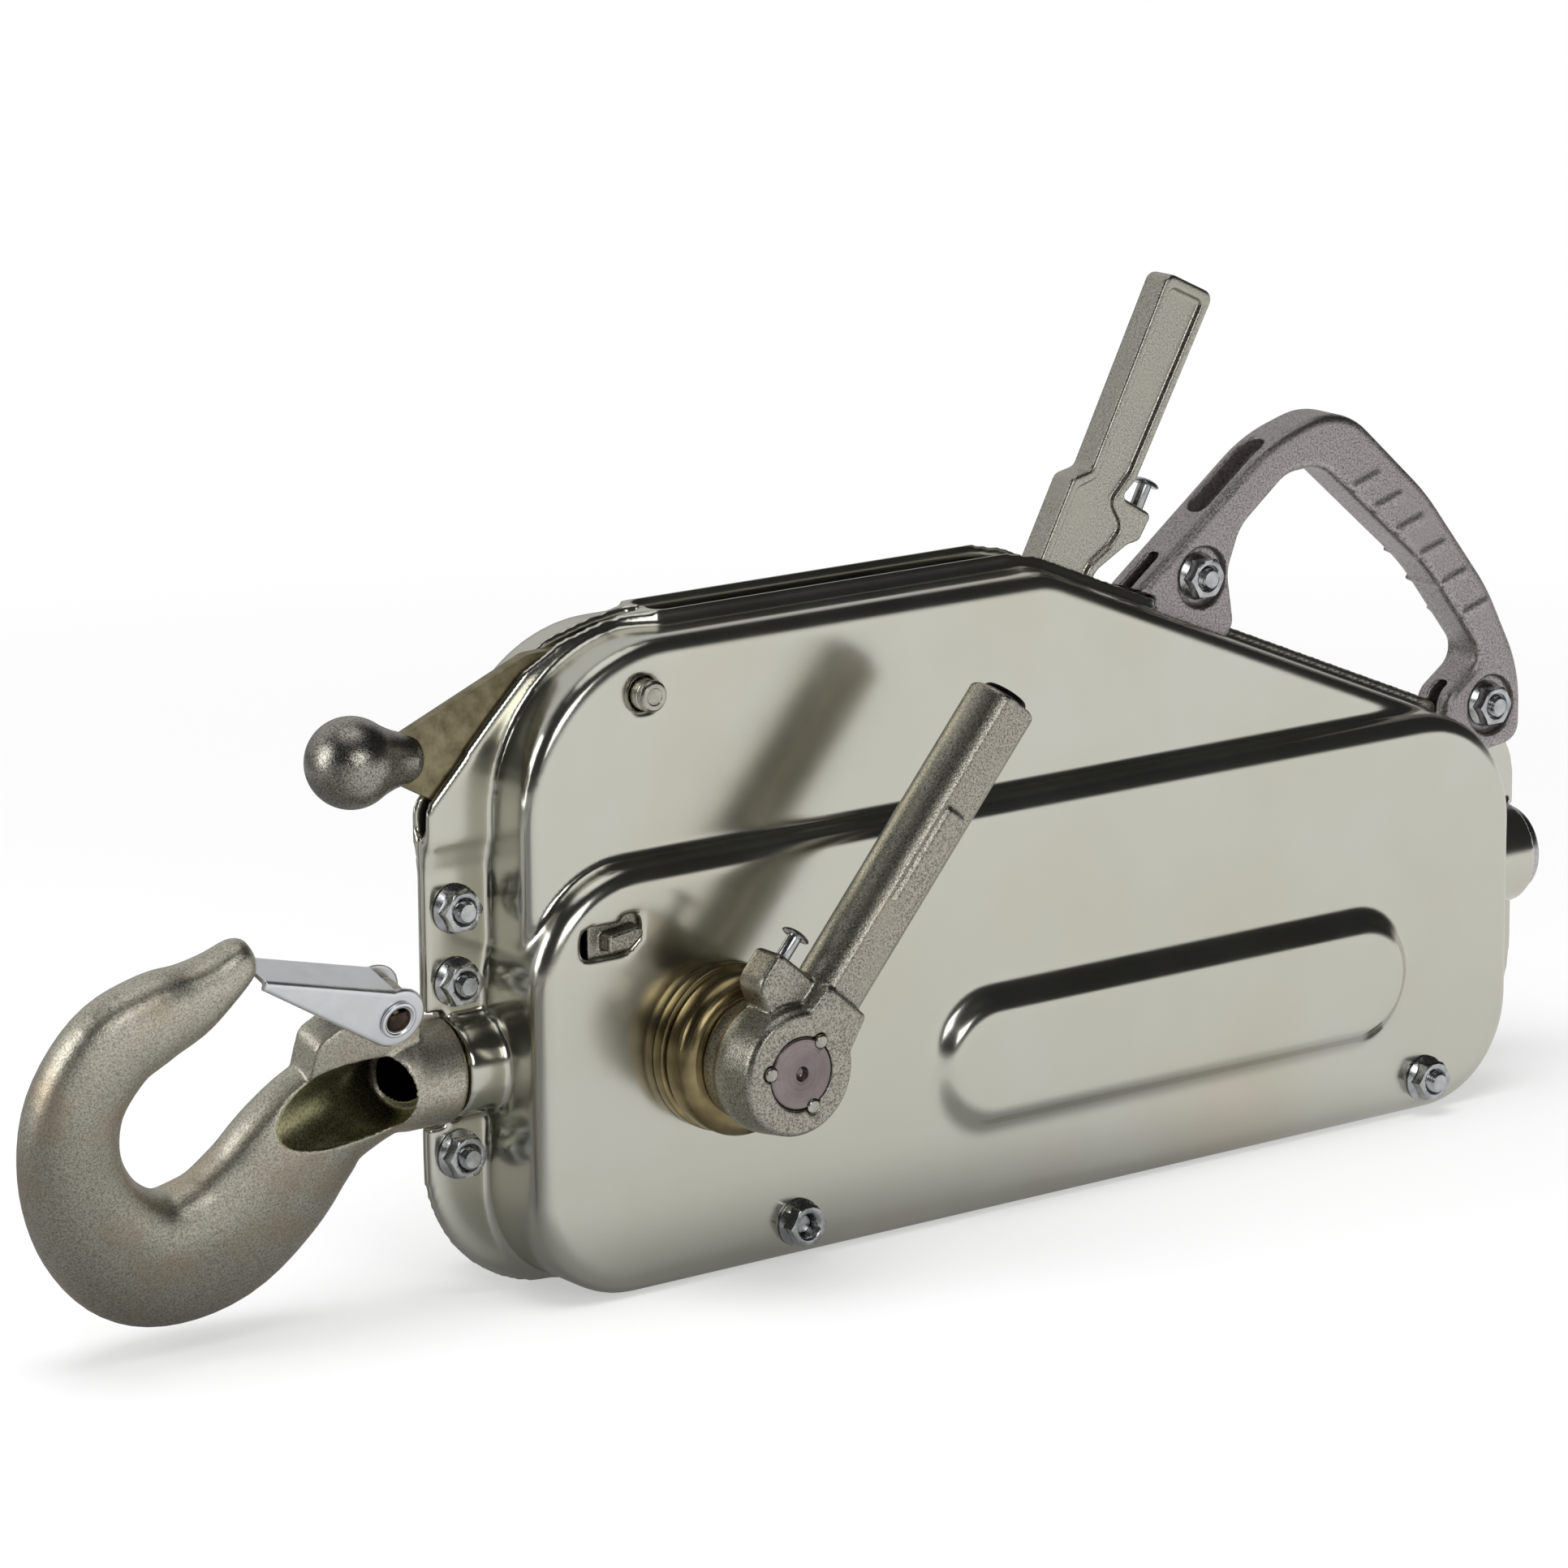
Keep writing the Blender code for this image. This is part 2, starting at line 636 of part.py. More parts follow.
def make_fasteners():
    for i, (x, z) in enumerate(FLANGE_BOLTS, 1):
        piece = bolt(x, z, WALL, -WALL - NUT_H - 3.6)
        finish(piece, "flange_bolt_%d" % i, "bright zinc")
        finish(nut(x, z, -WALL, -1.0), "flange_nut_%d" % i, "bright zinc")
    reach = BULGE_Y - WALL - GAP
    for i, (x, z) in enumerate(TIE_BOLTS, 1):
        piece = bolt(x, z, BULGE_Y, -BULGE_Y - NUT_H - 3.8)
        finish(piece, "tie_bolt_%d" % i, "bright zinc")
        finish(nut(x, z, -BULGE_Y, -1.0), "tie_nut_%d" % i, "bright zinc")
        wall = [(BOLT_R + GAP, -reach), (SPACER_R, -reach), (SPACER_R, reach), (BOLT_R + GAP, reach)]
        finish(lathe(wall, "Y", (x, 0.0, z), SMALL), "tie_spacer_%d" % i, "machined steel")
    seat = HANDLE_HALF - COUNTERBORE_DEPTH
    for i, (x, z) in enumerate(HANDLE_BOLTS, 1):
        piece = bolt(x, z, seat, -seat - NUT_H - 2.6)
        finish(piece, "handle_bolt_%d" % i, "bright zinc")
        finish(nut(x, z, -seat, -1.0), "handle_nut_%d" % i, "bright zinc")


# ================================================================ carrying handle
def handle_outline():
    """The handle from its front foot over the top to the rear foot, and back inside the grip."""
    return rounded([
        (380.0, 154.3, 0.0), (452.0, 206.0, 80.0), (509.0, 233.5, 16.0), (566.0, 184.0, 80.0),
        (606.0, 135.0, 70.0), (628.0, 92.0, 60.0), (628.0, 57.0, 8.0), (574.0, 50.0, 0.0),
        (581.0, 85.0, 12.0), (603.5, 101.0, 10.0), (567.0, 148.5, 120.0), (500.0, 206.5, 22.0),
        (479.0, 205.5, 20.0), (451.0, 183.5, 22.0), (443.5, 164.0, 18.0), (447.5, 138.5, 4.0),
        (436.0, 124.0, 0.0), (380.0, 124.0, 0.0),
    ], 3)


def casing_seat(side):
    """The casing's outside with a fitting gap, for cutting what sits on it."""
    seat = pressed(bulge_corners(), side, -1.0, BULGE_Y + GAP, BULGE_EDGE, -GAP)
    panel = pressed(panel_corners(), side, -1.0, PANEL_Y + GAP, PANEL_EDGE, -GAP)
    return join(seat, panel)


def make_handle():
    body = soft_slab(handle_outline(), -HANDLE_HALF, HANDLE_HALF, 2.2)
    lean = math.atan2(206.0 - 154.3, 452.0 - 380.0)
    pocket = slab(rounded([(0.0, -4.6, 4.0), (80.0, -4.6, 4.0), (80.0, 4.6, 4.0), (0.0, 4.6, 4.0)], 4),
                  -9.0, 9.0)
    turn = Matrix.Rotation(-lean, 4, "Y") @ Matrix.Rotation(math.radians(90.0), 4, "X")
    turn.translation = Vector((428.0, 0.0, 190.0))
    cut(body, place(pocket, turn))
    for i in range(GRIP_PADS):
        across = Matrix.Rotation(math.radians(-23.0), 4, "Y")
        for side in (-1.0, 1.0):
            pad = slab(rounded([(-6.0, -7.2, 1.0), (24.0, -7.2, 2.0), (24.0, 7.2, 2.0),
                                (-6.0, 7.2, 1.0)], 3), side * (HANDLE_HALF - 0.9), side * 16.0)
            across.translation = Vector((524.0 + i * 14.9, 0.0, 185.5 - i * 14.2))
            cut(body, place(pad, across))
    for x, z in HANDLE_BOLTS:
        floor = HANDLE_HALF - COUNTERBORE_DEPTH
        bore = [(0.0, -20.0), (COUNTERBORE_R, -20.0), (COUNTERBORE_R, -floor),
                (BOLT_R + GAP, -floor), (BOLT_R + GAP, floor), (COUNTERBORE_R, floor),
                (COUNTERBORE_R, 20.0), (0.0, 20.0)]
        cut(body, lathe(bore, "Y", (x, 0.0, z), 24))
    front_x, front_z = HANDLE_BOLTS[0]
    rear_x, rear_z = HANDLE_BOLTS[1]
    clear = TAB_R + 1.5
    slot = slab(rounded([(360.0, 100.0, 0.0), (460.0, 100.0, 0.0), (460.0, 141.0, 0.0),
                         (front_x + clear, front_z - 8.0, 2.0), (front_x + clear, front_z + clear, 8.0),
                         (360.0, front_z + clear - 4.0, 0.0)], 4), -HANDLE_SLOT_HALF, HANDLE_SLOT_HALF)
    cut(body, slot)
    slot = slab(rounded([(570.0, 40.0, 0.0), (640.0, 40.0, 0.0), (640.0, rear_z - 8.0, 0.0),
                         (rear_x + clear, rear_z, 2.0), (rear_x + clear, rear_z + clear, 8.0),
                         (rear_x - clear, rear_z + clear, 8.0), (570.0, slope_z(570.0) + 1.0, 0.0)],
                        4), -HANDLE_SLOT_HALF, HANDLE_SLOT_HALF)
    cut(body, slot)
    for side in (-1.0, 1.0):
        cut(body, casing_seat(side))
    over = SLOT_RIGHT + WALL + 0.6
    lips = slab([(360.0, slope_z(360.0) + 0.6), (over, slope_z(over) + 0.6), (over, 100.0),
                 (360.0, 100.0)], -60.0, 60.0)
    cut(body, lips)
    return finish(body, "carry_handle", "cast aluminium", 40.0)


# ================================================================ bearings and shafts
def make_bearings():
    sleeve = SHAFT_R + RUN + BEARING_WALL
    face = BULGE_Y + GAP
    profile = [
        (SHAFT_R + RUN, -34.0), (sleeve, -34.0), (sleeve, -face), (BEARING_R, -face),
        (BEARING_R, -51.5), (BEARING_R - 3.0, -52.2), (BEARING_R - 3.0, -54.4),
        (BEARING_R - 0.8, -55.0), (BEARING_R - 0.8, -63.5),
        (BEARING_R - 4.5, -68.0), (BEARING_R - 6.5, -BEARING_FACE),
        (SHAFT_R + RUN, -BEARING_FACE),
    ]
    front = lathe(profile, "Y", (CRANK_X, 0.0, 0.0), ROUND)
    finish(front, "front_bearing", "passivated brass")
    sleeve = REAR_JOURNAL_R + RUN + BEARING_WALL
    profile = [
        (0.0, REAR_CAP_FACE), (REAR_CAP_R - 4.0, REAR_CAP_FACE), (REAR_CAP_R, REAR_CAP_FACE - 3.0),
        (REAR_CAP_R, face), (sleeve, face), (sleeve, 34.0), (REAR_JOURNAL_R + RUN, 34.0),
        (REAR_JOURNAL_R + RUN, 48.0), (0.0, 48.0),
    ]
    rear = lathe(profile, "Y", (CRANK_X, 0.0, 0.0), ROUND)
    finish(rear, "rear_bearing", "passivated brass")


def crank_pin_places():
    lean = math.radians(CRANK_REST)
    dx = CRANK_PIN_RADIUS * math.sin(lean)
    dz = CRANK_PIN_RADIUS * math.cos(lean)
    return ((CRANK_X + dx, dz), (CRANK_X - dx, -dz))


def make_drive_shaft():
    """Front shaft with its crank web, the rear web with its journal, and the two crank pins."""
    profile = [
        (0.0, -WEB_IN), (WEB_R - 1.0, -WEB_IN), (WEB_R, -WEB_IN - 1.0), (WEB_R, -WEB_OUT + 1.0),
        (WEB_R - 1.0, -WEB_OUT), (SHAFT_R, -WEB_OUT), (SHAFT_R, -HUB_FACE + 0.8),
        (SHAFT_R - 0.8, -HUB_FACE), (3.2, -HUB_FACE), (2.4, -HUB_FACE + 3.0), (0.0, -HUB_FACE + 4.0),
    ]
    shaft = lathe(profile, "Y", (CRANK_X, 0.0, 0.0), ROUND)
    profile = [
        (0.0, WEB_IN), (WEB_R - 1.0, WEB_IN), (WEB_R, WEB_IN + 1.0), (WEB_R, WEB_OUT - 1.0),
        (WEB_R - 1.0, WEB_OUT), (REAR_JOURNAL_R, WEB_OUT), (REAR_JOURNAL_R, 46.0),
        (REAR_JOURNAL_R - 1.0, 47.0), (0.0, 47.0),
    ]
    rear = lathe(profile, "Y", (CRANK_X, 0.0, 0.0), ROUND)
    for end, (x, z) in zip(("upper", "lower"), crank_pin_places()):
        hole = CRANK_PIN_R + GAP
        cut(shaft, rod("Y", (x, 0.0, z), hole, -WEB_OUT - 0.5, -WEB_IN + 5.0, SMALL))
        cut(rear, rod("Y", (x, 0.0, z), hole, WEB_IN - 5.0, WEB_OUT + 5.0, SMALL))
        pin = rod("Y", (x, 0.0, z), CRANK_PIN_R, -WEB_OUT + 0.3, WEB_OUT, SMALL, 0.6)
        finish(pin, end + "_crank_pin", "tool steel")
    for x, z in shear_pin_places():
        cut(shaft, rod("Y", (x, 0.0, z), SHEAR_PIN_R + GAP, -HUB_FACE - 5.0,
                       -HUB_FACE + SHEAR_PIN_DEPTH + GAP, SMALL))
    finish(shaft, "drive_shaft", "machined steel")
    finish(rear, "rear_crank_web", "machined steel")


def shear_pin_places():
    places = []
    for turn in (CRANK_REST - 1.2, CRANK_REST + 118.8, CRANK_REST + 238.8):
        a = math.radians(turn)
        places.append((CRANK_X + SHEAR_PIN_CIRCLE * math.sin(a), SHEAR_PIN_CIRCLE * math.cos(a)))
    return places


def lean_matrix(x, z, degrees):
    """Turn a piece drawn upright about the Y axis through (x, z)."""
    there = Matrix.Translation((x, 0.0, z))
    turn = Matrix.Rotation(math.radians(degrees), 4, "Y")
    return there @ turn @ Matrix.Translation((-x, 0.0, -z))


def make_forward_lever():
    """The forged operating lever, drawn upright and then leant to its rest."""
    x = CRANK_X
    profile = [
        (SHAFT_R + GAP, -HUB_BACK), (HUB_R - 3.0, -HUB_BACK), (HUB_R - 2.2, -HUB_BACK - 1.0),
        (HUB_R - 2.2, -78.0), (HUB_R, -82.0), (HUB_R, -87.0), (HUB_FACE_R + 1.0, -101.5),
        (HUB_FACE_R - 1.0, -HUB_FACE), (SHAFT_R + GAP, -HUB_FACE),
    ]
    hub = lathe(profile, "Y", (x, 0.0, 0.0), ROUND)
    neck = soft_slab(rounded([(x - 17.0, 4.0, 0.0), (x + 20.0, 4.0, 0.0), (x + 14.5, 38.0, 2.0),
                              (x - 12.0, 38.0, 2.0)], 3), -HUB_FACE, -74.0, 1.6)
    arm = rod("Z", (x, -ARM_Y, 0.0), ARM_R, 22.0, ARM_END, 16, 1.2)
    cut(arm, box(x - 30.0, x + 30.0, -ARM_FLAT - 20.0, -ARM_FLAT, 0.0, 210.0))
    ear = soft_slab(rounded([(x - 38.0, 20.0, 8.0), (x - 16.0, 8.0, 2.0), (x - 8.0, 37.7, 2.0),
                             (x - 38.0, 37.7, 3.0)], 4), -96.0, -78.0, 1.8)
    join(hub, neck, ear, arm)
    cut(hub, rod("Z", (x, -ARM_Y, 0.0), ARM_BORE_R, ARM_END - ARM_BORE_DEPTH, ARM_END + 10.0, 12))
    shaft_way = rod("Y", (x, 0.0, 0.0), SHAFT_R + GAP, -HUB_FACE - 10.0, -HUB_BACK + 10.0, ROUND)
    cut(hub, shaft_way)
    cut(hub, rod("Z", (x - 29.0, -87.0, 0.0), 3.2 + GAP, 24.0, 45.0, SMALL))
    place(hub, lean_matrix(x, 0.0, CRANK_REST))
    for px, pz in shear_pin_places():
        cut(hub, rod("Y", (px, 0.0, pz), SHEAR_PIN_R + GAP, -HUB_FACE - 5.0,
                     -HUB_FACE + SHEAR_PIN_DEPTH + GAP, SMALL))
    finish(hub, "forward_lever", "forged steel")
    for i, (px, pz) in enumerate(shear_pin_places(), 1):
        pin = rod("Y", (px, 0.0, pz), SHEAR_PIN_R, -HUB_FACE - 0.9, -HUB_FACE + SHEAR_PIN_DEPTH,
                  SMALL, 0.5)
        finish(pin, "lever_shear_pin_%d" % i, "bright zinc")
    spare = mushroom_pin((x - 29.0, -87.0), 25.0, 51.5)
    place(spare, lean_matrix(x, 0.0, CRANK_REST))
    finish(spare, "forward_spare_pin", "bright zinc")


def mushroom_pin(place_xy, low, high):
    """A spare shear pin standing upright, with its domed head at the top."""
    x, y = place_xy
    profile = [
        (0.0, low), (2.6, low), (3.2, low + 0.8), (3.2, high - 2.6), (6.2, high - 2.8),
        (6.6, high - 2.0), (4.6, high - 0.6), (0.0, high),
    ]
    return lathe(profile, "Z", (x, y, 0.0), SMALL)


# ================================================================ reversing lever
def reversing_outline():
    """The lever above its fork, drawn upright about its pivot."""
    x = REVERSE_X
    return rounded([
        (x - 14.3, BRIDGE_HIGH - 2.0, 0.0), (x + 14.3, BRIDGE_HIGH - 2.0, 0.0),
        (x + 18.8, 125.0, 20.0), (x + 18.8, 206.0, 12.0), (x + 30.5, 223.6, 6.0),
        (x + 36.2, 227.8, 4.0), (x + 37.5, 241.4, 3.0), (x + 17.2, 242.2, 2.0),
        (x + 21.2, 252.0, 6.0), (x + 23.5, 345.2, 5.0), (x - 6.8, 344.0, 5.0),
        (x - 5.8, 247.0, 5.0), (x - 14.3, 240.0, 5.0),
    ], 3)


def fork_cheek(side):
    outline = rounded([
        (REVERSE_X - 12.0, -42.0, 11.0), (REVERSE_X + 12.0, -42.0, 11.0),
        (REVERSE_X + 15.0, 0.0, 20.0), (REVERSE_X + 15.0, BRIDGE_HIGH, 4.0),
        (REVERSE_X - 15.0, BRIDGE_HIGH, 4.0), (REVERSE_X - 15.0, 0.0, 20.0),
    ], 3)
    return soft_slab(outline, side * WEB_IN, side * WEB_OUT, 0.8)


def make_reversing_lever():
    x = REVERSE_X
    lever = soft_slab(reversing_outline(), -LEVER_HALF, LEVER_HALF, 1.4)
    for side in (-1.0, 1.0):
        pocket = shifted(reversing_pocket(), 0.0)
        rings = []
        for inset, y in ((-1.2, 9.0), (0.0, 7.4), (1.6, 5.9)):
            rings.append([(px, side * y, pz) for px, pz in shifted(pocket, inset)])
        cut(lever, new_object("pocket", stack(rings)))
    cut(lever, rod("Z", (x + 32.8, 0.0, 0.0), 3.2 + GAP, 230.0, 250.0, SMALL))
    place(lever, lean_matrix(x, 0.0, REVERSE_REST))
    finish(lever, "reversing_lever", "forged steel")

    spare = mushroom_pin((x + 32.8, 0.0), 231.0, 256.0)
    place(spare, lean_matrix(x, 0.0, REVERSE_REST))
    finish(spare, "reversing_spare_pin", "bright zinc")

    fork = box(x - 15.0, x + 15.0, -WEB_OUT + 2.0, WEB_OUT - 2.0, BRIDGE_LOW, BRIDGE_HIGH - 2.3)
    for side in (-1.0, 1.0):
        join(fork, fork_cheek(side))
        upper = rod("Y", (x, 0.0, REVERSE_PIN_RADIUS), REVERSE_PIN_R,
                    side * (REAR_PLATE[0] - 0.3), side * (WEB_IN + 2.0), SMALL, 0.5)
        lower = rod("Y", (x, 0.0, -REVERSE_PIN_RADIUS), REVERSE_PIN_R,
                    side * (FRONT_PLATE[0] - 0.3), side * (WEB_IN + 2.0), SMALL, 0.5)
        join(fork, upper, lower)
        cut(fork, rod("Y", (x, 0.0, 0.0), REVERSE_PIVOT_R + RUN, side * 20.0, side * 40.0, 24))
    place(fork, lean_matrix(x, 0.0, REVERSE_REST))
    finish(fork, "reversing_fork", "forged steel")

    for side, end in ((-1.0, "front"), (1.0, "rear")):
        low = WEB_IN - 0.4
        back = BULGE_Y - WALL - GAP
        profile = [(0.0, side * low), (REVERSE_PIVOT_R, side * low),
                   (REVERSE_PIVOT_R, side * (WEB_OUT + 1.0)), (14.0, side * (WEB_OUT + 1.5)),
                   (14.0, side * back), (0.0, side * back)]
        pivot = lathe(profile, "Y", (x, 0.0, 0.0), ROUND)
        finish(pivot, end + "_reversing_pivot", "machined steel")


def reversing_pocket():
    x = REVERSE_X
    return rounded([
        (x - 9.8, 140.0, 2.0), (x + 14.3, 140.0, 2.0), (x + 14.3, 207.0, 12.0),
        (x + 21.0, 219.0, 8.0), (x + 24.0, 230.0, 6.0), (x + 12.0, 238.0, 5.0),
        (x + 16.6, 254.0, 6.0), (x + 18.8, 340.0, 3.0), (x - 2.2, 339.0, 3.0),
        (x - 1.4, 245.0, 4.0), (x - 9.8, 237.0, 4.0),
    ], 2)


# ================================================================ jaw carriages
def slot_outline(x, z, width, height):
    r = width / 2.0
    straight = height / 2.0 - r
    return arc(x, z + straight, r, 0.0, 180.0, 4) + arc(x, z - straight, r, 180.0, 360.0, 4)


def carriage(name, plate, jaw_x, upper):
    """Two side plates with cross bars, a slotted arm to the crank, and the jaw housing."""
    inner, outer = plate
    sign = 1.0 if upper else -1.0
    pin_x = crank_pin_places()[0 if upper else 1][0]
    lean = math.radians(REVERSE_REST) * sign
    stub_x = REVERSE_X + REVERSE_PIN_RADIUS * math.sin(lean)
    stub_z = sign * (REVERSE_PIN_RADIUS - 1.9)
    low, high = ARM_LOW * sign, ARM_HIGH * sign
    half = JAW_LENGTH / 2.0 + 9.0
    far = max(stub_x + 13.0, jaw_x + half) if not upper else jaw_x + half
    start = pin_x - 14.0
    if upper:
        corners = [(start, low, 6.0), (jaw_x - half, low, 4.0), (jaw_x - half, -high, 4.0),
                   (far, -high, 4.0), (far, high, 4.0), (start, high, 10.0)]
    else:
        corners = [(start, high, 10.0), (far, high, 8.0), (far, low, 6.0),
                   (jaw_x + half, low, 4.0), (jaw_x + half, -high, 4.0),
                   (jaw_x - half, -high, 4.0), (jaw_x - half, low, 4.0), (start, low, 6.0)]
    outline = rounded(corners, 2)
    body = slab(outline, inner, outer)
    join_plate = slab(outline, -outer, -inner)
    bars = []
    for x in (jaw_x - half + 7.0, jaw_x + half - 7.0):
        for z in (-36.0, 36.0):
            bars.append(rod("Y", (x, 0.0, z), 4.5, -inner - 1.0, inner + 1.0, 6))
    join(body, join_plate, *bars)
    crank_z = sign * CRANK_PIN_RADIUS * (1.0 + math.cos(math.radians(45.0))) / 2.0
    crank_travel = CRANK_PIN_RADIUS * (1.0 - math.cos(math.radians(45.0)))
    width = 2.0 * (CRANK_PIN_R + PLAY)
    cut(body, slab(slot_outline(pin_x, crank_z, width, width + crank_travel), -40.0, 40.0))
    width = 2.0 * (REVERSE_PIN_R + PLAY)
    cut(body, slab(slot_outline(stub_x, stub_z, width, width + 5.0), -40.0, 40.0))
    for x in (jaw_x - 20.0, jaw_x + 20.0):
        for z in (1.0, -1.0):
            middle = z * (18.0 + JAW_TRAVEL / 2.0)
            width = 2.0 * (JAW_PIN_R + 0.6)
            cut(body, slab(slot_outline(x, middle, width, width + JAW_TRAVEL), -40.0, 40.0))
    return finish(body, name, "machined steel")


def jaw(name, plate, jaw_x, sign):
    """A jaw block with its half-round rope groove and the two pins that guide it."""
    inner, outer = plate
    half = JAW_LENGTH / 2.0
    width = inner - 0.5
    outline = rounded([(jaw_x - half, sign * JAW_GAP, 0.0), (jaw_x + half, sign * JAW_GAP, 0.0),
                       (jaw_x + half, sign * 18.0, 2.0), (jaw_x + half - 12.0, sign * JAW_TOP, 3.0),
                       (jaw_x - half + 12.0, sign * JAW_TOP, 3.0), (jaw_x - half, sign * 18.0, 2.0)], 2)
    body = slab(outline, -width, width)
    groove = [(0.0, jaw_x - half - 5.0), (8.3, jaw_x - half - 5.0)]
    for i in range(JAW_TEETH):
        x = jaw_x - half + 8.0 + i * (JAW_LENGTH - 16.0) / (JAW_TEETH - 1.0)
        groove += [(8.3, x - 1.2), (9.2, x - 0.8), (9.2, x + 0.8), (8.3, x + 1.2)]
    groove += [(8.3, jaw_x + half + 5.0), (0.0, jaw_x + half + 5.0)]
    cut(body, lathe(groove, "X", (0.0, 0.0, 0.0), 8))
    for x in (jaw_x - 20.0, jaw_x + 20.0):
        join(body, rod("Y", (x, 0.0, sign * 18.0), JAW_PIN_R, -outer, outer, 8))
    return finish(body, name, "tool steel")


def make_carriages():
    carriage("front_carriage", FRONT_PLATE, FRONT_JAW_X, False)
    carriage("rear_carriage", REAR_PLATE, REAR_JAW_X, True)
    for end, plate, x in (("front", FRONT_PLATE, FRONT_JAW_X), ("rear", REAR_PLATE, REAR_JAW_X)):
        jaw(end + "_upper_jaw", plate, x, 1.0)
        jaw(end + "_lower_jaw", plate, x, -1.0)


def make_guides():
    """Channels fixed inside the shells, between whose shelves the carriages slide."""
    back = BULGE_Y - WALL - GAP
    near = ARM_HIGH + GAP
    far = near + 5.0
    spans = (("front_jaw", 158.0, 198.0, FRONT_PLATE[0]), ("rear_jaw", 306.0, 470.0, REAR_PLATE[0]))
    for name, x0, x1, inner in spans:
        for side, hand in ((-1.0, "left"), (1.0, "right")):
            channel = box(x0, x1, side * inner, side * back, -far, far)
            cut(channel, box(x0 - 5.0, x1 + 5.0, side * (inner - 5.0), side * (back - 3.0),
                             -near, near))
            finish(channel, "%s_guide_%s" % (name, hand), "machined steel")


# ================================================================ release gear
def make_release_gear():
    x, z = RELEASE_X, RELEASE_Z
    reach = PANEL_Y + RELEASE_PIN_OUT
    head = RELEASE_PIN_R
    profile = [
        (0.0, -reach), (head - 1.2, -reach), (head, -reach + 1.2), (head, -reach + 3.0),
        (head - 0.7, -reach + 3.3), (head - 0.7, -reach + 4.3), (head, -reach + 4.6),
        (head, reach - 1.2), (head - 1.2, reach), (0.0, reach),
    ]
    finish(lathe(profile, "Y", (x, 0.0, z), 24), "release_pivot_pin", "bright zinc")

    plate = rounded([
        (-7.5, 151.0, 1.0), (56.0, 177.0, 10.0), (x, z + 19.0, 16.0), (x + 17.0, z, 16.0),
        (x + 8.5, z - RELEASE_ARM - 9.0, 8.0), (x - 8.5, z - RELEASE_ARM - 9.0, 8.0),
        (x - 12.0, z - 22.0, 12.0), (44.0, 128.0, 20.0), (10.0, 118.0, 8.0), (-9.0, 128.5, 1.0),
    ], 4)
    lever = slab(plate, -RELEASE_HALF, RELEASE_HALF)
    cut(lever, rod("Y", (x, 0.0, z), RELEASE_PIN_R + GAP, -10.0, 10.0, 24))
    pin_z = z - RELEASE_ARM
    far = BAR_Y[1]
    join(lever, rod("Y", (x, 0.0, pin_z), RELEASE_ARM_PIN_R, -far - 0.5, 2.0, SMALL, 0.4))
    finish(lever, "release_lever", "machined steel")

    neck_end = -4.0
    lean = math.degrees(math.atan2(2.0, 26.0))
    profile = []
    for i in range(12):
        a = math.radians(180.0 - 152.0 * i / 11.0)
        profile.append((max(0.0, BALL_R * math.sin(a)), BALL_X + BALL_R * math.cos(a)))
    profile[0] = (0.0, BALL_X - BALL_R)
    profile += [(9.6, BALL_X + 19.5), (10.6, neck_end - 4.0), (9.4, neck_end), (0.0, neck_end)]
    ball = lathe(profile, "X", (0.0, 0.0, BALL_Z), 18)
    there = lean_matrix(BALL_X, BALL_Z, lean)
    place(ball, there)
    tang = slab(shifted(plate, -GAP), -RELEASE_HALF - GAP, RELEASE_HALF + GAP)
    cut(ball, tang)
    finish(ball, "release_knob", "forged steel")

    inner, outer = BAR_Y
    bar = rounded([
        (x - 16.0, pin_z - 12.0, 6.0), (x + 22.0, pin_z - 12.0, 6.0), (x + 34.0, pin_z - 5.0, 4.0),
        (176.0, pin_z - 5.0, 2.0), (176.0, 52.0, 2.0), (188.0, 52.0, 2.0),
        (188.0, pin_z - 5.0, 2.0), (378.0, pin_z - 5.0, 2.0), (378.0, 52.0, 2.0),
        (390.0, 52.0, 2.0), (390.0, pin_z + 5.0, 6.0), (x + 34.0, pin_z + 5.0, 4.0),
        (x + 22.0, pin_z + 20.0, 6.0), (x - 16.0, pin_z + 20.0, 6.0),
    ], 3)
    rod_bar = slab(bar, -outer, -inner)
    width = 2.0 * (RELEASE_ARM_PIN_R + PLAY)
    cut(rod_bar, slab(slot_outline(x, pin_z + 4.0, width, width + 8.6), -40.0, -20.0))
    finish(rod_bar, "release_bar", "machined steel")


def make_release_catch():
    """The thumb slide behind its window in the front bulge."""
    x0, x1, z0, z1 = CATCH_SLOT
    back = BULGE_Y - WALL - GAP
    plate = slab(rounded([(58.0, z0 - 6.0, 3.0), (100.0, z0 - 6.0, 3.0), (100.0, z1 + 5.0, 3.0),
                          (58.0, z1 + 5.0, 3.0)], 2), -back + 3.0, -back)
    lug = soft_slab(rounded([(64.0, z0 + 2.0, 2.0), (x1 - 8.5, z0 + 2.0, 2.0),
                             (x1 - 1.2, z0 + 7.0, 2.0), (x1 - 1.2, z1 - 1.0, 3.0),
                             (64.0, z1 - 3.5, 2.0)], 3), -back + 1.0, -BULGE_Y - 4.5, 0.9)
    join(plate, lug)
    finish(plate, "release_catch", "forged steel")


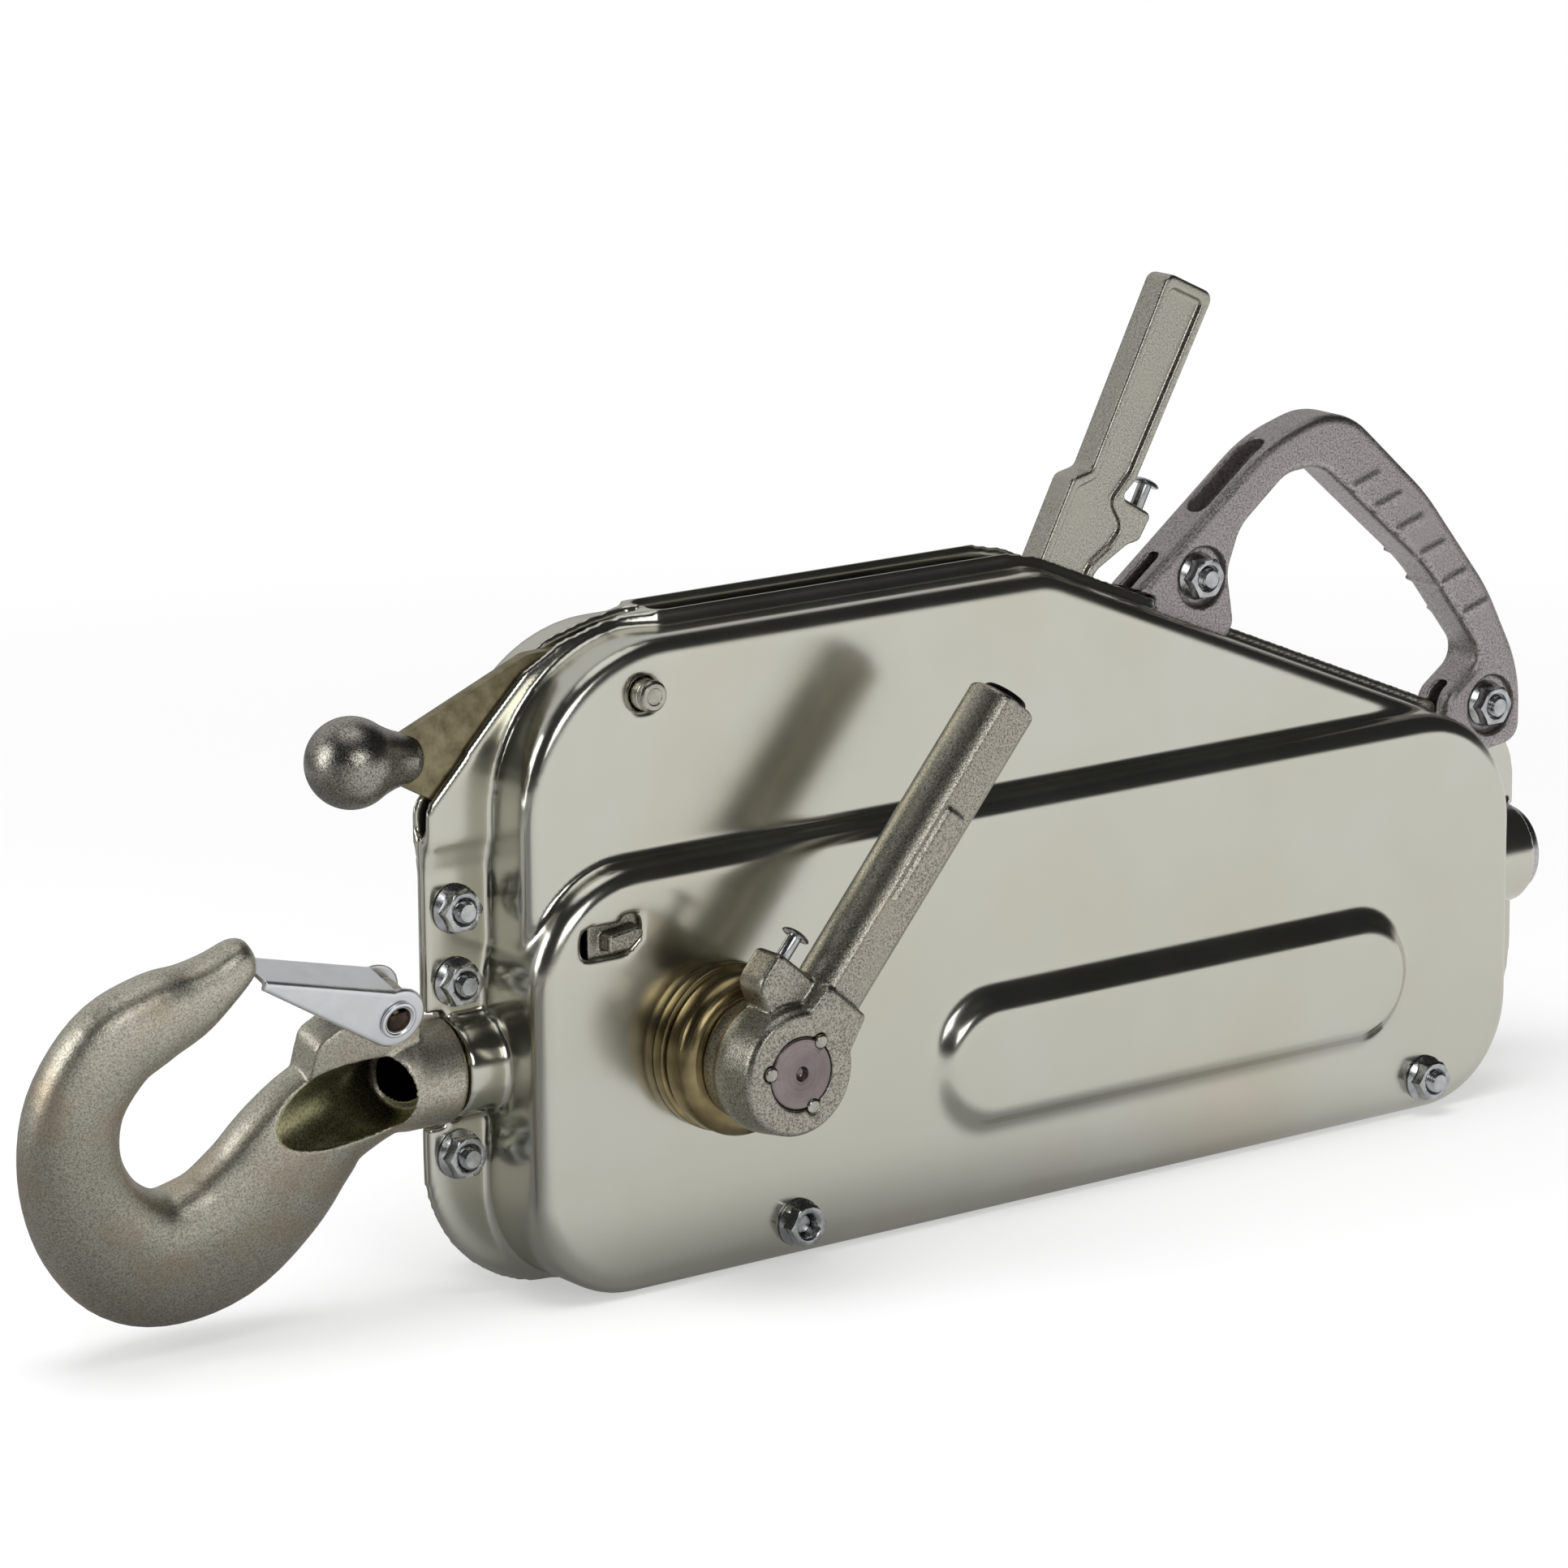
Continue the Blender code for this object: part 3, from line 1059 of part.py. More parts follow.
# ================================================================ anchor hook
def hook_path():
    """Control points of the hook's middle line, with half widths and half thicknesses."""
    tip = LATCH_X - LATCH_LENGTH + 3.1
    return [
        (-16.0, -1.0, 21.0, 18.0), (-34.0, -5.0, 26.0, 17.5), (-50.0, -12.0, 30.0, 17.0),
        (-63.0, -26.0, 33.0, 17.5), (-76.0, -45.0, 35.0, 18.0), (-95.0, -62.0, 35.5, 18.5),
        (-120.0, -67.0, 33.5, 18.5), (-142.0, -60.0, 29.5, 18.0), (-162.0, -40.0, 25.5, 17.0),
        (-175.0, -12.0, 22.5, 16.0), (-176.5, 18.0, 22.0, 15.5), (-164.0, 43.0, 22.5, 15.0),
        (-146.0, 54.0, 21.0, 14.5), (tip - 28.5, 60.0, 18.0, 12.5), (tip - 14.5, 68.5, 13.0, 11.0),
        (tip - 4.0, 77.0, 9.5, 8.8), (tip, 79.5, 5.0, 4.6),
    ]


def blend(a, b, c, d, t):
    """Catmull-Rom value between b and c."""
    return 0.5 * (2.0 * b + (c - a) * t + (2.0 * a - 5.0 * b + 4.0 * c - d) * t * t
                  + (3.0 * b - a - 3.0 * c + d) * t ** 3)


def smooth_path(points, between):
    """Points of a smooth curve through the control points."""
    padded = [points[0]] + points + [points[-1]]
    path = []
    for i in range(len(points) - 1):
        four = padded[i:i + 4]
        for k in range(between):
            t = k / between
            path.append(tuple(blend(*values, t) for values in zip(*four)))
    path.append(points[-1])
    return path


def hook_section(x, z, half_width, half_thick, heading, sides=16):
    """One section square to the path, a little fuller than an oval."""
    across = Vector((-heading.y, heading.x))
    ring = []
    for i in range(sides):
        t = 2.0 * math.pi * i / sides
        c, s = math.cos(t), math.sin(t)
        u = half_width * math.copysign(abs(c) ** 0.85, c)
        v = half_thick * math.copysign(abs(s) ** 0.85, s)
        ring.append((x + across.x * u, v, z + across.y * u))
    return ring


def make_hook():
    path = smooth_path(hook_path(), 2)
    rings = []
    for i, (x, z, half_width, half_thick) in enumerate(path):
        before = path[max(i - 1, 0)]
        after = path[min(i + 1, len(path) - 1)]
        heading = Vector((after[0] - before[0], after[1] - before[1])).normalized()
        rings.append(hook_section(x, z, half_width, half_thick, heading))
    body = new_object("hook", stack(rings))
    collar = lathe([
        (0.0, -34.0), (14.0, -34.0), (20.0, -28.0), (COLLAR_R - 1.0, -20.0), (COLLAR_R, -14.0),
        (COLLAR_R, COLLAR_FACE - 2.0), (COLLAR_R - 2.0, COLLAR_FACE), (NECK_R, COLLAR_FACE),
        (NECK_R, RING_X - 1.2), (NECK_R - 1.6, RING_X - 1.2), (NECK_R - 1.6, RING_X + 3.2),
        (NECK_R, RING_X + 3.2), (NECK_R, NECK_END - 1.0), (NECK_R - 1.0, NECK_END),
        (0.0, NECK_END),
    ], "X", (0.0, 0.0, 0.0), ROUND)
    boss = soft_slab(rounded([(-66.0, 2.0, 3.0), (-8.0, 4.0, 3.0), (-12.0, 36.0, 8.0),
                              (-20.0, 48.0, 8.0), (-38.0, 46.0, 8.0), (-64.0, 30.0, 8.0)], 4),
                     -LATCH_OUT + LATCH_SHEET + 1.0, LATCH_OUT - LATCH_SHEET - 1.0, 1.4)
    join(body, collar, boss)
    cut(body, rod("X", (0.0, 0.0, 0.0), ROPE_BORE, -30.0, NECK_END + 10.0, 24))
    cut(body, scoop())
    cut(body, rod("Y", (LATCH_X, 0.0, LATCH_Z), LATCH_PIN_R + GAP, -20.0, 20.0, SMALL))
    place(body, hook_turn())
    return finish(body, "anchor_hook", "forged steel", 50.0)


def hook_turn():
    """The hook swivels about the rope; at rest its top leans this much to the lever side."""
    return Matrix.Rotation(math.radians(HOOK_REST), 4, "X")


def scoop():
    """The groove that lets the rope leave the hook's front side."""
    start = Vector((-2.0, 2.0, 0.0))
    end = Vector((-104.0, -40.0, -4.0))
    radii = (ROPE_BORE, 13.0, 15.5, 17.5, 18.0)
    heading = (end - start).normalized()
    side = heading.cross(Vector((0.0, 0.0, 1.0))).normalized()
    up = side.cross(heading)
    rings = []
    for i, radius in enumerate(radii):
        centre = start.lerp(end, i / (len(radii) - 1.0))
        ring = []
        for k in range(16):
            a = 2.0 * math.pi * k / 16
            ring.append(tuple(centre + side * radius * math.cos(a) + up * radius * math.sin(a)))
        rings.append(ring)
    return new_object("scoop", stack(rings))


def latch_cheek():
    """Outline of the latch's cheek with the pin at (0, 0) and the tip along -X."""
    end = LATCH_END_R
    back = arc(0.0, 0.0, end, 118.0, -105.0, 10)
    return back + [(-LATCH_LENGTH, LATCH_TOP - 5.0), (-LATCH_LENGTH, LATCH_TOP)]


def make_latch():
    """The safety latch: a folded sheet channel, and its pin."""
    out = LATCH_OUT
    inner = out - LATCH_SHEET
    body = soft_slab(latch_cheek(), -out, out, 1.2)
    channel = [(30.0, -30.0), (-LATCH_LENGTH - 20.0, -30.0), (-LATCH_LENGTH - 20.0, LATCH_TOP - 5.0),
               (-LATCH_LENGTH + 2.0, LATCH_TOP - LATCH_SHEET), (-6.0, LATCH_TOP - LATCH_SHEET),
               (-6.0, 30.0), (30.0, 30.0)]
    cut(body, slab(channel, -inner, inner))
    cut(body, rod("Y", (0.0, 0.0, 0.0), LATCH_PIN_R + GAP, -20.0, 20.0, SMALL))
    lean = Matrix.Rotation(math.radians(LATCH_LEAN), 4, "Y")
    there = Matrix.Translation((LATCH_X, 0.0, LATCH_Z)) @ lean
    place(body, hook_turn() @ there)
    finish(body, "hook_latch", "bright zinc")

    head = LATCH_PIN_R + 3.6
    pin = lathe([
        (0.0, -out - 2.6), (head - 1.4, -out - 2.6), (head, -out - 1.4), (head, -out - GAP),
        (LATCH_PIN_R, -out - GAP), (LATCH_PIN_R, out + GAP), (head, out + GAP),
        (head, out + 1.4), (head - 1.4, out + 2.6), (0.0, out + 2.6),
    ], "Y", (LATCH_X, 0.0, LATCH_Z), 24)
    place(pin, hook_turn())
    finish(pin, "latch_pin", "machined steel")


def make_anchor_bush():
    """The bush that the two shells clamp, in which the hook swivels, and its retaining ring."""
    outer = SOCKET_R - WALL - GAP
    inner = NECK_R + RUN
    start = SOCKET_START + 0.4
    profile = [(inner, start), (outer, start), (outer, RING_X - 4.0), (inner, RING_X - 4.0)]
    finish(lathe(profile, "X", (0.0, 0.0, 0.0), ROUND), "anchor_bush", "passivated brass")
    ring = [(NECK_R - 1.2, RING_X - 0.9), (NECK_R + 6.0, RING_X - 0.9), (NECK_R + 6.0, RING_X + 2.9),
            (NECK_R - 1.2, RING_X + 2.9)]
    piece = lathe(ring, "X", (0.0, 0.0, 0.0), ROUND)
    cut(piece, box(RING_X - 5.0, RING_X + 8.0, -3.0, 3.0, -30.0, 0.0))
    finish(piece, "hook_ring", "tool steel")


def make_rope_guide():
    bore = ROPE_BORE - 1.0
    profile = [
        (bore + 5.0, GUIDE_START), (GUIDE_R, GUIDE_START), (GUIDE_R, GUIDE_START + 4.0),
        (GUIDE_R, GUIDE_END - 3.0), (GUIDE_R - 3.0, GUIDE_END), (bore + 6.5, GUIDE_END),
        (bore + 2.0, GUIDE_END - 4.0), (bore, GUIDE_END - 10.0), (bore, GUIDE_START + 10.0),
        (bore + 2.0, GUIDE_START + 4.0),
    ]
    finish(lathe(profile, "X", (0.0, 0.0, 0.0), ROUND), "rope_guide", "bright zinc")


# ================================================================ assembly
def pivot_origin(obj, x, y, z):
    """Move an object's origin to (x, y, z) without moving its mesh."""
    here = Vector((x, y, z)) * MM
    obj.data.transform(Matrix.Translation(-here))
    obj.location = here


def stand_up():
    """Hang every piece on one empty, so that the winch stands on Z = 0 about its middle."""
    frame = bpy.data.objects.new("winch_frame", None)
    bpy.context.collection.objects.link(frame)
    frame.location = Vector((-STAND_X, -STAND_Y, -BASE_Z)) * MM
    origins = {
        "forward_lever": (CRANK_X, 0.0, 0.0), "drive_shaft": (CRANK_X, 0.0, 0.0),
        "rear_crank_web": (CRANK_X, 0.0, 0.0), "forward_spare_pin": (CRANK_X, 0.0, 0.0),
        "reversing_lever": (REVERSE_X, 0.0, 0.0), "reversing_fork": (REVERSE_X, 0.0, 0.0),
        "reversing_spare_pin": (REVERSE_X, 0.0, 0.0),
        "release_lever": (RELEASE_X, 0.0, RELEASE_Z), "release_knob": (RELEASE_X, 0.0, RELEASE_Z),
        "hook_latch": tuple(hook_turn() @ Vector((LATCH_X, 0.0, LATCH_Z))),
    }
    for obj in list(bpy.data.objects):
        if obj.type != "MESH":
            continue
        if obj.name in origins:
            pivot_origin(obj, *origins[obj.name])
        obj.parent = frame


def build():
    clear_scene()
    casing(-1.0, "front_casing")
    casing(1.0, "rear_casing")
    make_fasteners()
    make_handle()
    make_bearings()
    make_drive_shaft()
    make_forward_lever()
    make_reversing_lever()
    make_carriages()
    make_guides()
    make_release_gear()
    make_release_catch()
    make_hook()
    make_latch()
    make_anchor_bush()
    make_rope_guide()
    stand_up()


build()
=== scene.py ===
# %% [markdown]
# # A steel-cased jaw winch
# The real tool is two pressed steel shells bolted round a pair of rope jaws.  A forged hook
# anchors it, a forged lever works it, and an aluminium handle carries it.  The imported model
# gives every piece its place and its motion.  This script dresses that model: where a piece
# shows its facets, a finer one is modelled over it and stands for it.

# %% Load the frame
import json
import math

import bmesh
import bpy
import numpy as np
from mathutils import Matrix, Vector


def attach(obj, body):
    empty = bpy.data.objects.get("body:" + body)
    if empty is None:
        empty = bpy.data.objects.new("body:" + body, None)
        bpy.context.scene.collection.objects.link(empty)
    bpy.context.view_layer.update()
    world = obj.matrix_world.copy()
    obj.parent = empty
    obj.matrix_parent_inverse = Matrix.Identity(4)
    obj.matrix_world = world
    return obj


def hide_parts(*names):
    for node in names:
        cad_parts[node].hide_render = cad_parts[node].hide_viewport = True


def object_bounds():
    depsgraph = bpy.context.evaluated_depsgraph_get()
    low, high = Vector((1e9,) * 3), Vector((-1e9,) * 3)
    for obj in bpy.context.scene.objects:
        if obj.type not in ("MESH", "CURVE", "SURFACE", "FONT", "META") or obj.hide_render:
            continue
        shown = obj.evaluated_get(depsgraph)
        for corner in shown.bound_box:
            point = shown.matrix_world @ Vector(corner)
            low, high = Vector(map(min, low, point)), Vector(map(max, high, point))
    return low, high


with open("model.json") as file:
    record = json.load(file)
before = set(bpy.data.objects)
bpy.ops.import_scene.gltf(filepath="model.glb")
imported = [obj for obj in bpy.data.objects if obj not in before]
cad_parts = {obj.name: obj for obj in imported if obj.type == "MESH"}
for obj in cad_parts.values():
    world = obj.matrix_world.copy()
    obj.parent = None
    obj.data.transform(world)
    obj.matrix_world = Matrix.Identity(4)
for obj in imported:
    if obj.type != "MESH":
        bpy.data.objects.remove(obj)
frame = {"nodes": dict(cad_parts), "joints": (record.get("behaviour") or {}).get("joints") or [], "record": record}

MM = 0.001
cad_low, cad_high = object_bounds()
print("CAD box", [round(v, 4) for v in (*cad_low, *cad_high)])

# %% [markdown]
# ## Where things are
# Every size below is in millimetres in the winch's own drawing: X along the rope from the
# edge of the casing, Y across it from the joint between the shells, Z up from the rope.  The
# crank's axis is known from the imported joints, so it ties that drawing to the row frame.

# %% From the drawing to the row frame
joints = {joint["name"]: joint for joint in frame["joints"]}
CRANK_X = 126.5
crank_axis = Vector(joints["crank_swing"]["pos_m"])
drawing_origin = crank_axis - Vector((CRANK_X * MM, 0.0, 0.0))


def at(x, y, z):
    """A point of the drawing, in metres in the row frame."""
    return drawing_origin + Vector((x, y, z)) * MM


print("drawing origin", [round(v, 4) for v in drawing_origin])

# %% [markdown]
# ## The camera
# The photograph was taken from far away with a long lens, from the hook side and a little
# above.  A known corner of the casing and the measured angles fix the camera.

# %% Camera at the photograph's angle
IMAGE_PX = 1932
FOCAL_PX = 8205.7
CORNER_PX = (521.0, 1300.0)            # the casing's hook-side edge in the photograph
CORNER_MM = (0.0, 0.0, 7.4)            # the same point in the drawing
CORNER_SCALE = 0.35                    # millimetres for a pixel at that corner
AZIMUTH, ELEVATION, ROLL = (math.radians(v) for v in (36.4292, 13.7449, 0.4485))

forward = Vector((math.sin(AZIMUTH) * math.cos(ELEVATION),
                  math.cos(AZIMUTH) * math.cos(ELEVATION), -math.sin(ELEVATION)))
level_right = Vector((math.cos(AZIMUTH), -math.sin(AZIMUTH), 0.0))
level_down = forward.cross(level_right)
right = level_right * math.cos(ROLL) + level_down * math.sin(ROLL)
down = level_down * math.cos(ROLL) - level_right * math.sin(ROLL)

to_corner = forward.copy()
to_corner += right * (CORNER_PX[0] - IMAGE_PX / 2) / FOCAL_PX
to_corner += down * (CORNER_PX[1] - IMAGE_PX / 2) / FOCAL_PX
eye = at(*CORNER_MM) - to_corner * (FOCAL_PX * CORNER_SCALE * MM)

bpy.ops.object.camera_add(location=eye)
camera = bpy.context.object
turn = Matrix((right, -down, -forward)).transposed()
camera.rotation_euler = turn.to_euler()
camera.data.sensor_width = 36.0
camera.data.lens = FOCAL_PX / IMAGE_PX * camera.data.sensor_width
camera.data.clip_end = 60.0
bpy.context.scene.camera = camera
print("camera", [round(v, 3) for v in eye], "lens", round(camera.data.lens, 1))

# %% [markdown]
# ## Small tools for modelling
# Each helper does one thing that a modeller does by hand: select one object, apply its
# modifiers, join, cut, or fuse.  A solid is deselected before the next is made.


# %% Selecting, applying and joining
def only(obj):
    """Select obj and nothing else."""
    bpy.ops.object.select_all(action="DESELECT")
    obj.select_set(True)
    bpy.context.view_layer.objects.active = obj
    return obj


def modify(obj, kind, **settings):
    """Add a modifier, set it, and apply it."""
    modifier = obj.modifiers.new(kind.lower(), kind)
    for key, value in settings.items():
        setattr(modifier, key, value)
    only(obj)
    bpy.ops.object.modifier_apply(modifier=modifier.name)
    return obj


def combine(obj, operation, tools):
    for tool in tools:
        modify(obj, "BOOLEAN", operation=operation, solver="EXACT", object=tool)
        bpy.data.objects.remove(tool, do_unlink=True)
    return obj


def unite(obj, *tools):
    return combine(obj, "UNION", tools)


def carve(obj, *tools):
    return combine(obj, "DIFFERENCE", tools)


MERGE_WITHIN = 0.00001                 # metres, far below any edge of the model


def tidy_mesh(obj):
    """Merge doubled points and turn every face outwards."""
    only(obj)
    bpy.ops.object.mode_set(mode="EDIT")
    bpy.ops.mesh.select_all(action="SELECT")
    bpy.ops.mesh.remove_doubles(threshold=MERGE_WITHIN)
    bpy.ops.mesh.normals_make_consistent(inside=False)
    bpy.ops.object.mode_set(mode="OBJECT")
    return obj


# %% [markdown]
# ## Outlines
# Sheet, plate and cast pieces all start as a flat outline with rounded corners.  A corner is
# written as its sharp point and its radius, and the arc is worked out from those two.


# %% Rounded outlines
ARC_STEPS = 14


def rounded(corners, steps=ARC_STEPS):
    """Outline through corners (x, z, radius), each rounded by its own radius."""
    outline = []
    count = len(corners)
    for i, (x, z, radius) in enumerate(corners):
        here = Vector((x, z))
        if radius <= 0.0:
            outline.append((x, z))
            continue
        before = (Vector(corners[i - 1][:2]) - here).normalized()
        after = (Vector(corners[(i + 1) % count][:2]) - here).normalized()
        half = before.angle(after) / 2.0
        centre = here + (before + after).normalized() * (radius / math.sin(half))
        first = here + before * (radius / math.tan(half)) - centre
        last = here + after * (radius / math.tan(half)) - centre
        sweep = first.angle_signed(last)
        for k in range(steps + 1):
            spoke = first.copy()
            spoke.rotate(Matrix.Rotation(-sweep * k / steps, 2))
            outline.append(tuple(centre + spoke))
    return outline


def inward_normals(points):
    ends = points[1:] + points[:1]
    area = sum(a[0] * b[1] - b[0] * a[1] for a, b in zip(points, ends))
    side = 1.0 if area > 0.0 else -1.0
    normals = []
    for a, b in zip(points, ends):
        along = Vector((b[0] - a[0], b[1] - a[1])).normalized()
        normals.append(Vector((-along.y, along.x)) * side)
    return normals, side


def shifted(points, distance):
    """An outline moved inwards by distance."""
    points = [(p[0], p[1]) for p in points]
    normals, _ = inward_normals(points)
    moved = []
    for i, point in enumerate(points):
        total = normals[i - 1] + normals[i]
        reach = distance / max(0.35, 1.0 + normals[i - 1].dot(normals[i]))
        moved.append(tuple(Vector(point) + total * reach))
    return moved


def inset(corners, distance):
    """Corners of the outline that runs distance inside, with matching radii."""
    moved = shifted(corners, distance)
    normals, side = inward_normals([(c[0], c[1]) for c in corners])
    result = []
    for i, (x, z) in enumerate(moved):
        bend = normals[i - 1].x * normals[i].y - normals[i - 1].y * normals[i].x
        change = -distance if bend * side > 0.0 else distance
        radius = corners[i][2]
        result.append((x, z, max(0.4, radius + change) if radius else 0.0))
    return result


# %% [markdown]
# ## Solids
# A plate starts as Blender's own filled circle, whose points are moved onto the outline, and
# is then extruded.  A turned piece is half a section spun about its axis.  A loft joins rings
# of equal point count, which suits drawn pans and the hook.


# %% Plates, turned pieces and lofts
BLANK_R = 0.1                          # a blank circle's radius: every point is moved after
RIM_STEPS = 6
ROPE_LINE = (0.0, 0.0, 0.0)            # the rope's axis runs through the drawing's origin


def plate(name, outline, y0, y1, rim=0.0):
    """An outline in XZ extruded from y0 to y1, whose border at y1 is rounded by rim."""
    bpy.ops.object.select_all(action="DESELECT")
    bpy.ops.mesh.primitive_circle_add(vertices=len(outline), radius=BLANK_R, fill_type="NGON")
    obj = bpy.context.object
    obj.name = name
    for vertex, (x, z) in zip(obj.data.vertices, outline):
        vertex.co = at(x, y0, z)
    bpy.ops.object.mode_set(mode="EDIT")
    bpy.ops.mesh.select_all(action="SELECT")
    step = {"value": (0.0, (y1 - y0) * MM, 0.0)}
    bpy.ops.mesh.extrude_region_move(TRANSFORM_OT_translate=step)
    if rim:
        bpy.ops.mesh.region_to_loop()
        bpy.ops.mesh.bevel(offset=rim * MM, segments=RIM_STEPS, affect="EDGES", profile=0.5)
    bpy.ops.object.mode_set(mode="OBJECT")
    return tidy_mesh(obj)


def turned(name, profile, axis, centre, sides=96):
    """A closed section of (radius, position along the axis), spun about an axis."""
    bpy.ops.object.select_all(action="DESELECT")
    bpy.ops.mesh.primitive_circle_add(vertices=len(profile), radius=BLANK_R, fill_type="NOTHING")
    obj = bpy.context.object
    obj.name = name
    cx, cy, cz = centre
    spots = {"X": lambda r, a: at(a, cy, cz + r), "Y": lambda r, a: at(cx, a, cz + r),
             "Z": lambda r, a: at(cx + r, cy, a)}
    for vertex, (radius, along) in zip(obj.data.vertices, profile):
        vertex.co = spots[axis](radius, along)
    on_axis = {i for i, (radius, _) in enumerate(profile) if radius == 0.0}
    bpy.ops.object.mode_set(mode="EDIT")
    mesh = bmesh.from_edit_mesh(obj.data)
    spare = [e for e in mesh.edges if {v.index for v in e.verts} <= on_axis]
    bmesh.ops.delete(mesh, geom=spare, context="EDGES")
    bpy.ops.mesh.select_all(action="SELECT")
    middle = {"X": at(0.0, cy, cz), "Y": at(cx, 0.0, cz), "Z": at(cx, cy, 0.0)}[axis]
    along = {"X": (1, 0, 0), "Y": (0, 1, 0), "Z": (0, 0, 1)}[axis]
    bpy.ops.mesh.spin(steps=sides, angle=2.0 * math.pi, center=middle, axis=along)
    bpy.ops.object.mode_set(mode="OBJECT")
    return tidy_mesh(obj)


def rod(name, axis, centre, radius, start, end, sides=64):
    section = [(0.0, start), (radius, start), (radius, end), (0.0, end)]
    return turned(name, section, axis, centre, sides)


def loft(name, rings):
    """A closed solid through rings of equal point count."""
    mesh = bmesh.new()
    loops = [[mesh.verts.new(at(*p)) for p in ring] for ring in rings]
    count = len(loops[0])
    for low, high in zip(loops, loops[1:]):
        for i in range(count):
            j = (i + 1) % count
            mesh.faces.new((low[i], low[j], high[j], high[i]))
    mesh.faces.new(loops[0])
    mesh.faces.new(loops[-1])
    data = bpy.data.meshes.new(name)
    mesh.to_mesh(data)
    mesh.free()
    obj = bpy.data.objects.new(name, data)
    bpy.context.collection.objects.link(obj)
    return tidy_mesh(obj)


def halved(obj, side, y):
    """Keep only what lies beyond the plane at y, on the given side, and close the cut."""
    only(obj)
    bpy.ops.object.mode_set(mode="EDIT")
    bpy.ops.mesh.select_all(action="SELECT")
    bpy.ops.mesh.bisect(plane_co=at(0.0, y, 0.0), plane_no=(0.0, side, 0.0),
                        use_fill=True, clear_inner=True)
    bpy.ops.object.mode_set(mode="OBJECT")
    return obj


def moved(obj, matrix):
    """Move a mesh by a matrix of the drawing frame, with its translation in millimetres."""
    step = matrix.copy()
    step.translation = step.translation * MM
    to_drawing = Matrix.Translation(-drawing_origin)
    obj.data.transform(Matrix.Translation(drawing_origin) @ step @ to_drawing)
    return obj


def leaning(x, z, degrees):
    """Turn about the Y axis through (x, z), from upright towards +X."""
    turn = Matrix.Rotation(math.radians(degrees), 4, "Y")
    return Matrix.Translation((x, 0.0, z)) @ turn @ Matrix.Translation((-x, 0.0, -z))


# %% [markdown]
# ## Cast and forged skins
# A casting or a forging has no sharp edge: metal never fills one.  A modeller could bevel
# every edge, but cuts that cross at odd angles bevel badly.  A voxel remesh rebuilds the
# whole skin from small even faces, and a few rounds of smoothing then soften every edge and
# corner alike, which is what a mould does.


# %% Soft skins and crisp skins
def smooth_under(obj, degrees):
    """Shade smooth wherever two faces meet at less than this angle."""
    only(obj)
    bpy.ops.object.shade_smooth_by_angle(angle=math.radians(degrees))
    return obj


def smooth_all_over(obj):
    only(obj)
    bpy.ops.object.shade_smooth()
    return obj


def cast_skin(obj, grain, rounds):
    """Rebuild a solid with faces of about grain millimetres and soften its edges."""
    modify(obj, "REMESH", mode="VOXEL", voxel_size=grain * MM)
    modify(obj, "SMOOTH", factor=0.5, iterations=rounds)
    return smooth_all_over(obj)


def crisp_skin(obj, edge=0.3, steps=2, angle=28.0):
    """Give a machined solid its small chamfers and smooth its round faces."""
    modify(obj, "BEVEL", width=edge * MM, segments=steps, limit_method="ANGLE",
           angle_limit=math.radians(angle), use_clamp_overlap=True)
    return smooth_under(obj, 35.0)


def stands_for(obj, body, finish, slot, *nodes):
    """Give a finished piece its material, its body and the nodes that it stands for."""
    obj.data.materials.clear()
    obj.data.materials.append(finish)
    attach(obj, body)
    if nodes:
        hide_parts(*nodes)
    print(obj.name, len(obj.data.polygons), "faces")
    return obj


# %% [markdown]
# ## Materials
# Every surface here is metal, so the colour comes from the reflections and its tint.  What
# tells zinc plate from a forging is the grain: a rolled sheet has long faint lines, a forging
# has pits of about a millimetre, a sand casting has grains of half that.  Each is written as
# a real size and turned into the scale of a noise.


# %% Colours and nodes
def tint(text):
    """A hex sRGB colour as linear numbers."""
    values = [int(text[i:i + 2], 16) / 255.0 for i in (1, 3, 5)]
    linear = [v / 12.92 if v <= 0.04045 else ((v + 0.055) / 1.055) ** 2.4 for v in values]
    return (*linear, 1.0)


def add(tree, kind, links=None, values=None, **settings):
    """Add a node with its settings, its socket values and what feeds its sockets."""
    node = tree.nodes.new(kind)
    for key, value in settings.items():
        setattr(node, key, value)
    for key, value in (values or {}).items():
        node.inputs[key].default_value = value
    for key, socket in (links or {}).items():
        tree.links.new(socket, node.inputs[key])
    return node


def scale_of(size_mm):
    """The noise scale whose spots are about size_mm across, on coordinates in metres."""
    return 1.0 / (size_mm * MM)


def spots(tree, place, size_mm, detail=2.0, rough=0.5, stretch=None):
    """A noise whose spots have a real size; stretch squeezes it along an axis."""
    if stretch:
        place = add(tree, "ShaderNodeMapping", {"Vector": place},
                    {"Scale": stretch}).outputs["Vector"]
    noise = add(tree, "ShaderNodeTexNoise", {"Vector": place},
                {"Scale": scale_of(size_mm), "Detail": detail, "Roughness": rough})
    return noise.outputs["Fac"]


def ramp(tree, factor, low, high, at_low=0.35, at_high=0.65):
    """Blend two colours or greys between two levels of a pattern."""
    node = add(tree, "ShaderNodeValToRGB", {"Fac": factor})
    first, last = node.color_ramp.elements
    first.position, first.color = at_low, low
    last.position, last.color = at_high, high
    return node.outputs["Color"]


def grey(level):
    return (level, level, level, 1.0)


def metal(name):
    """A new metal with its tree, its shader and its object coordinates."""
    material = bpy.data.materials.new(name)
    material.use_nodes = True
    tree = material.node_tree
    shader = tree.nodes["Principled BSDF"]
    shader.inputs["Metallic"].default_value = 1.0
    place = add(tree, "ShaderNodeTexCoord").outputs["Object"]
    return material, tree, shader, place


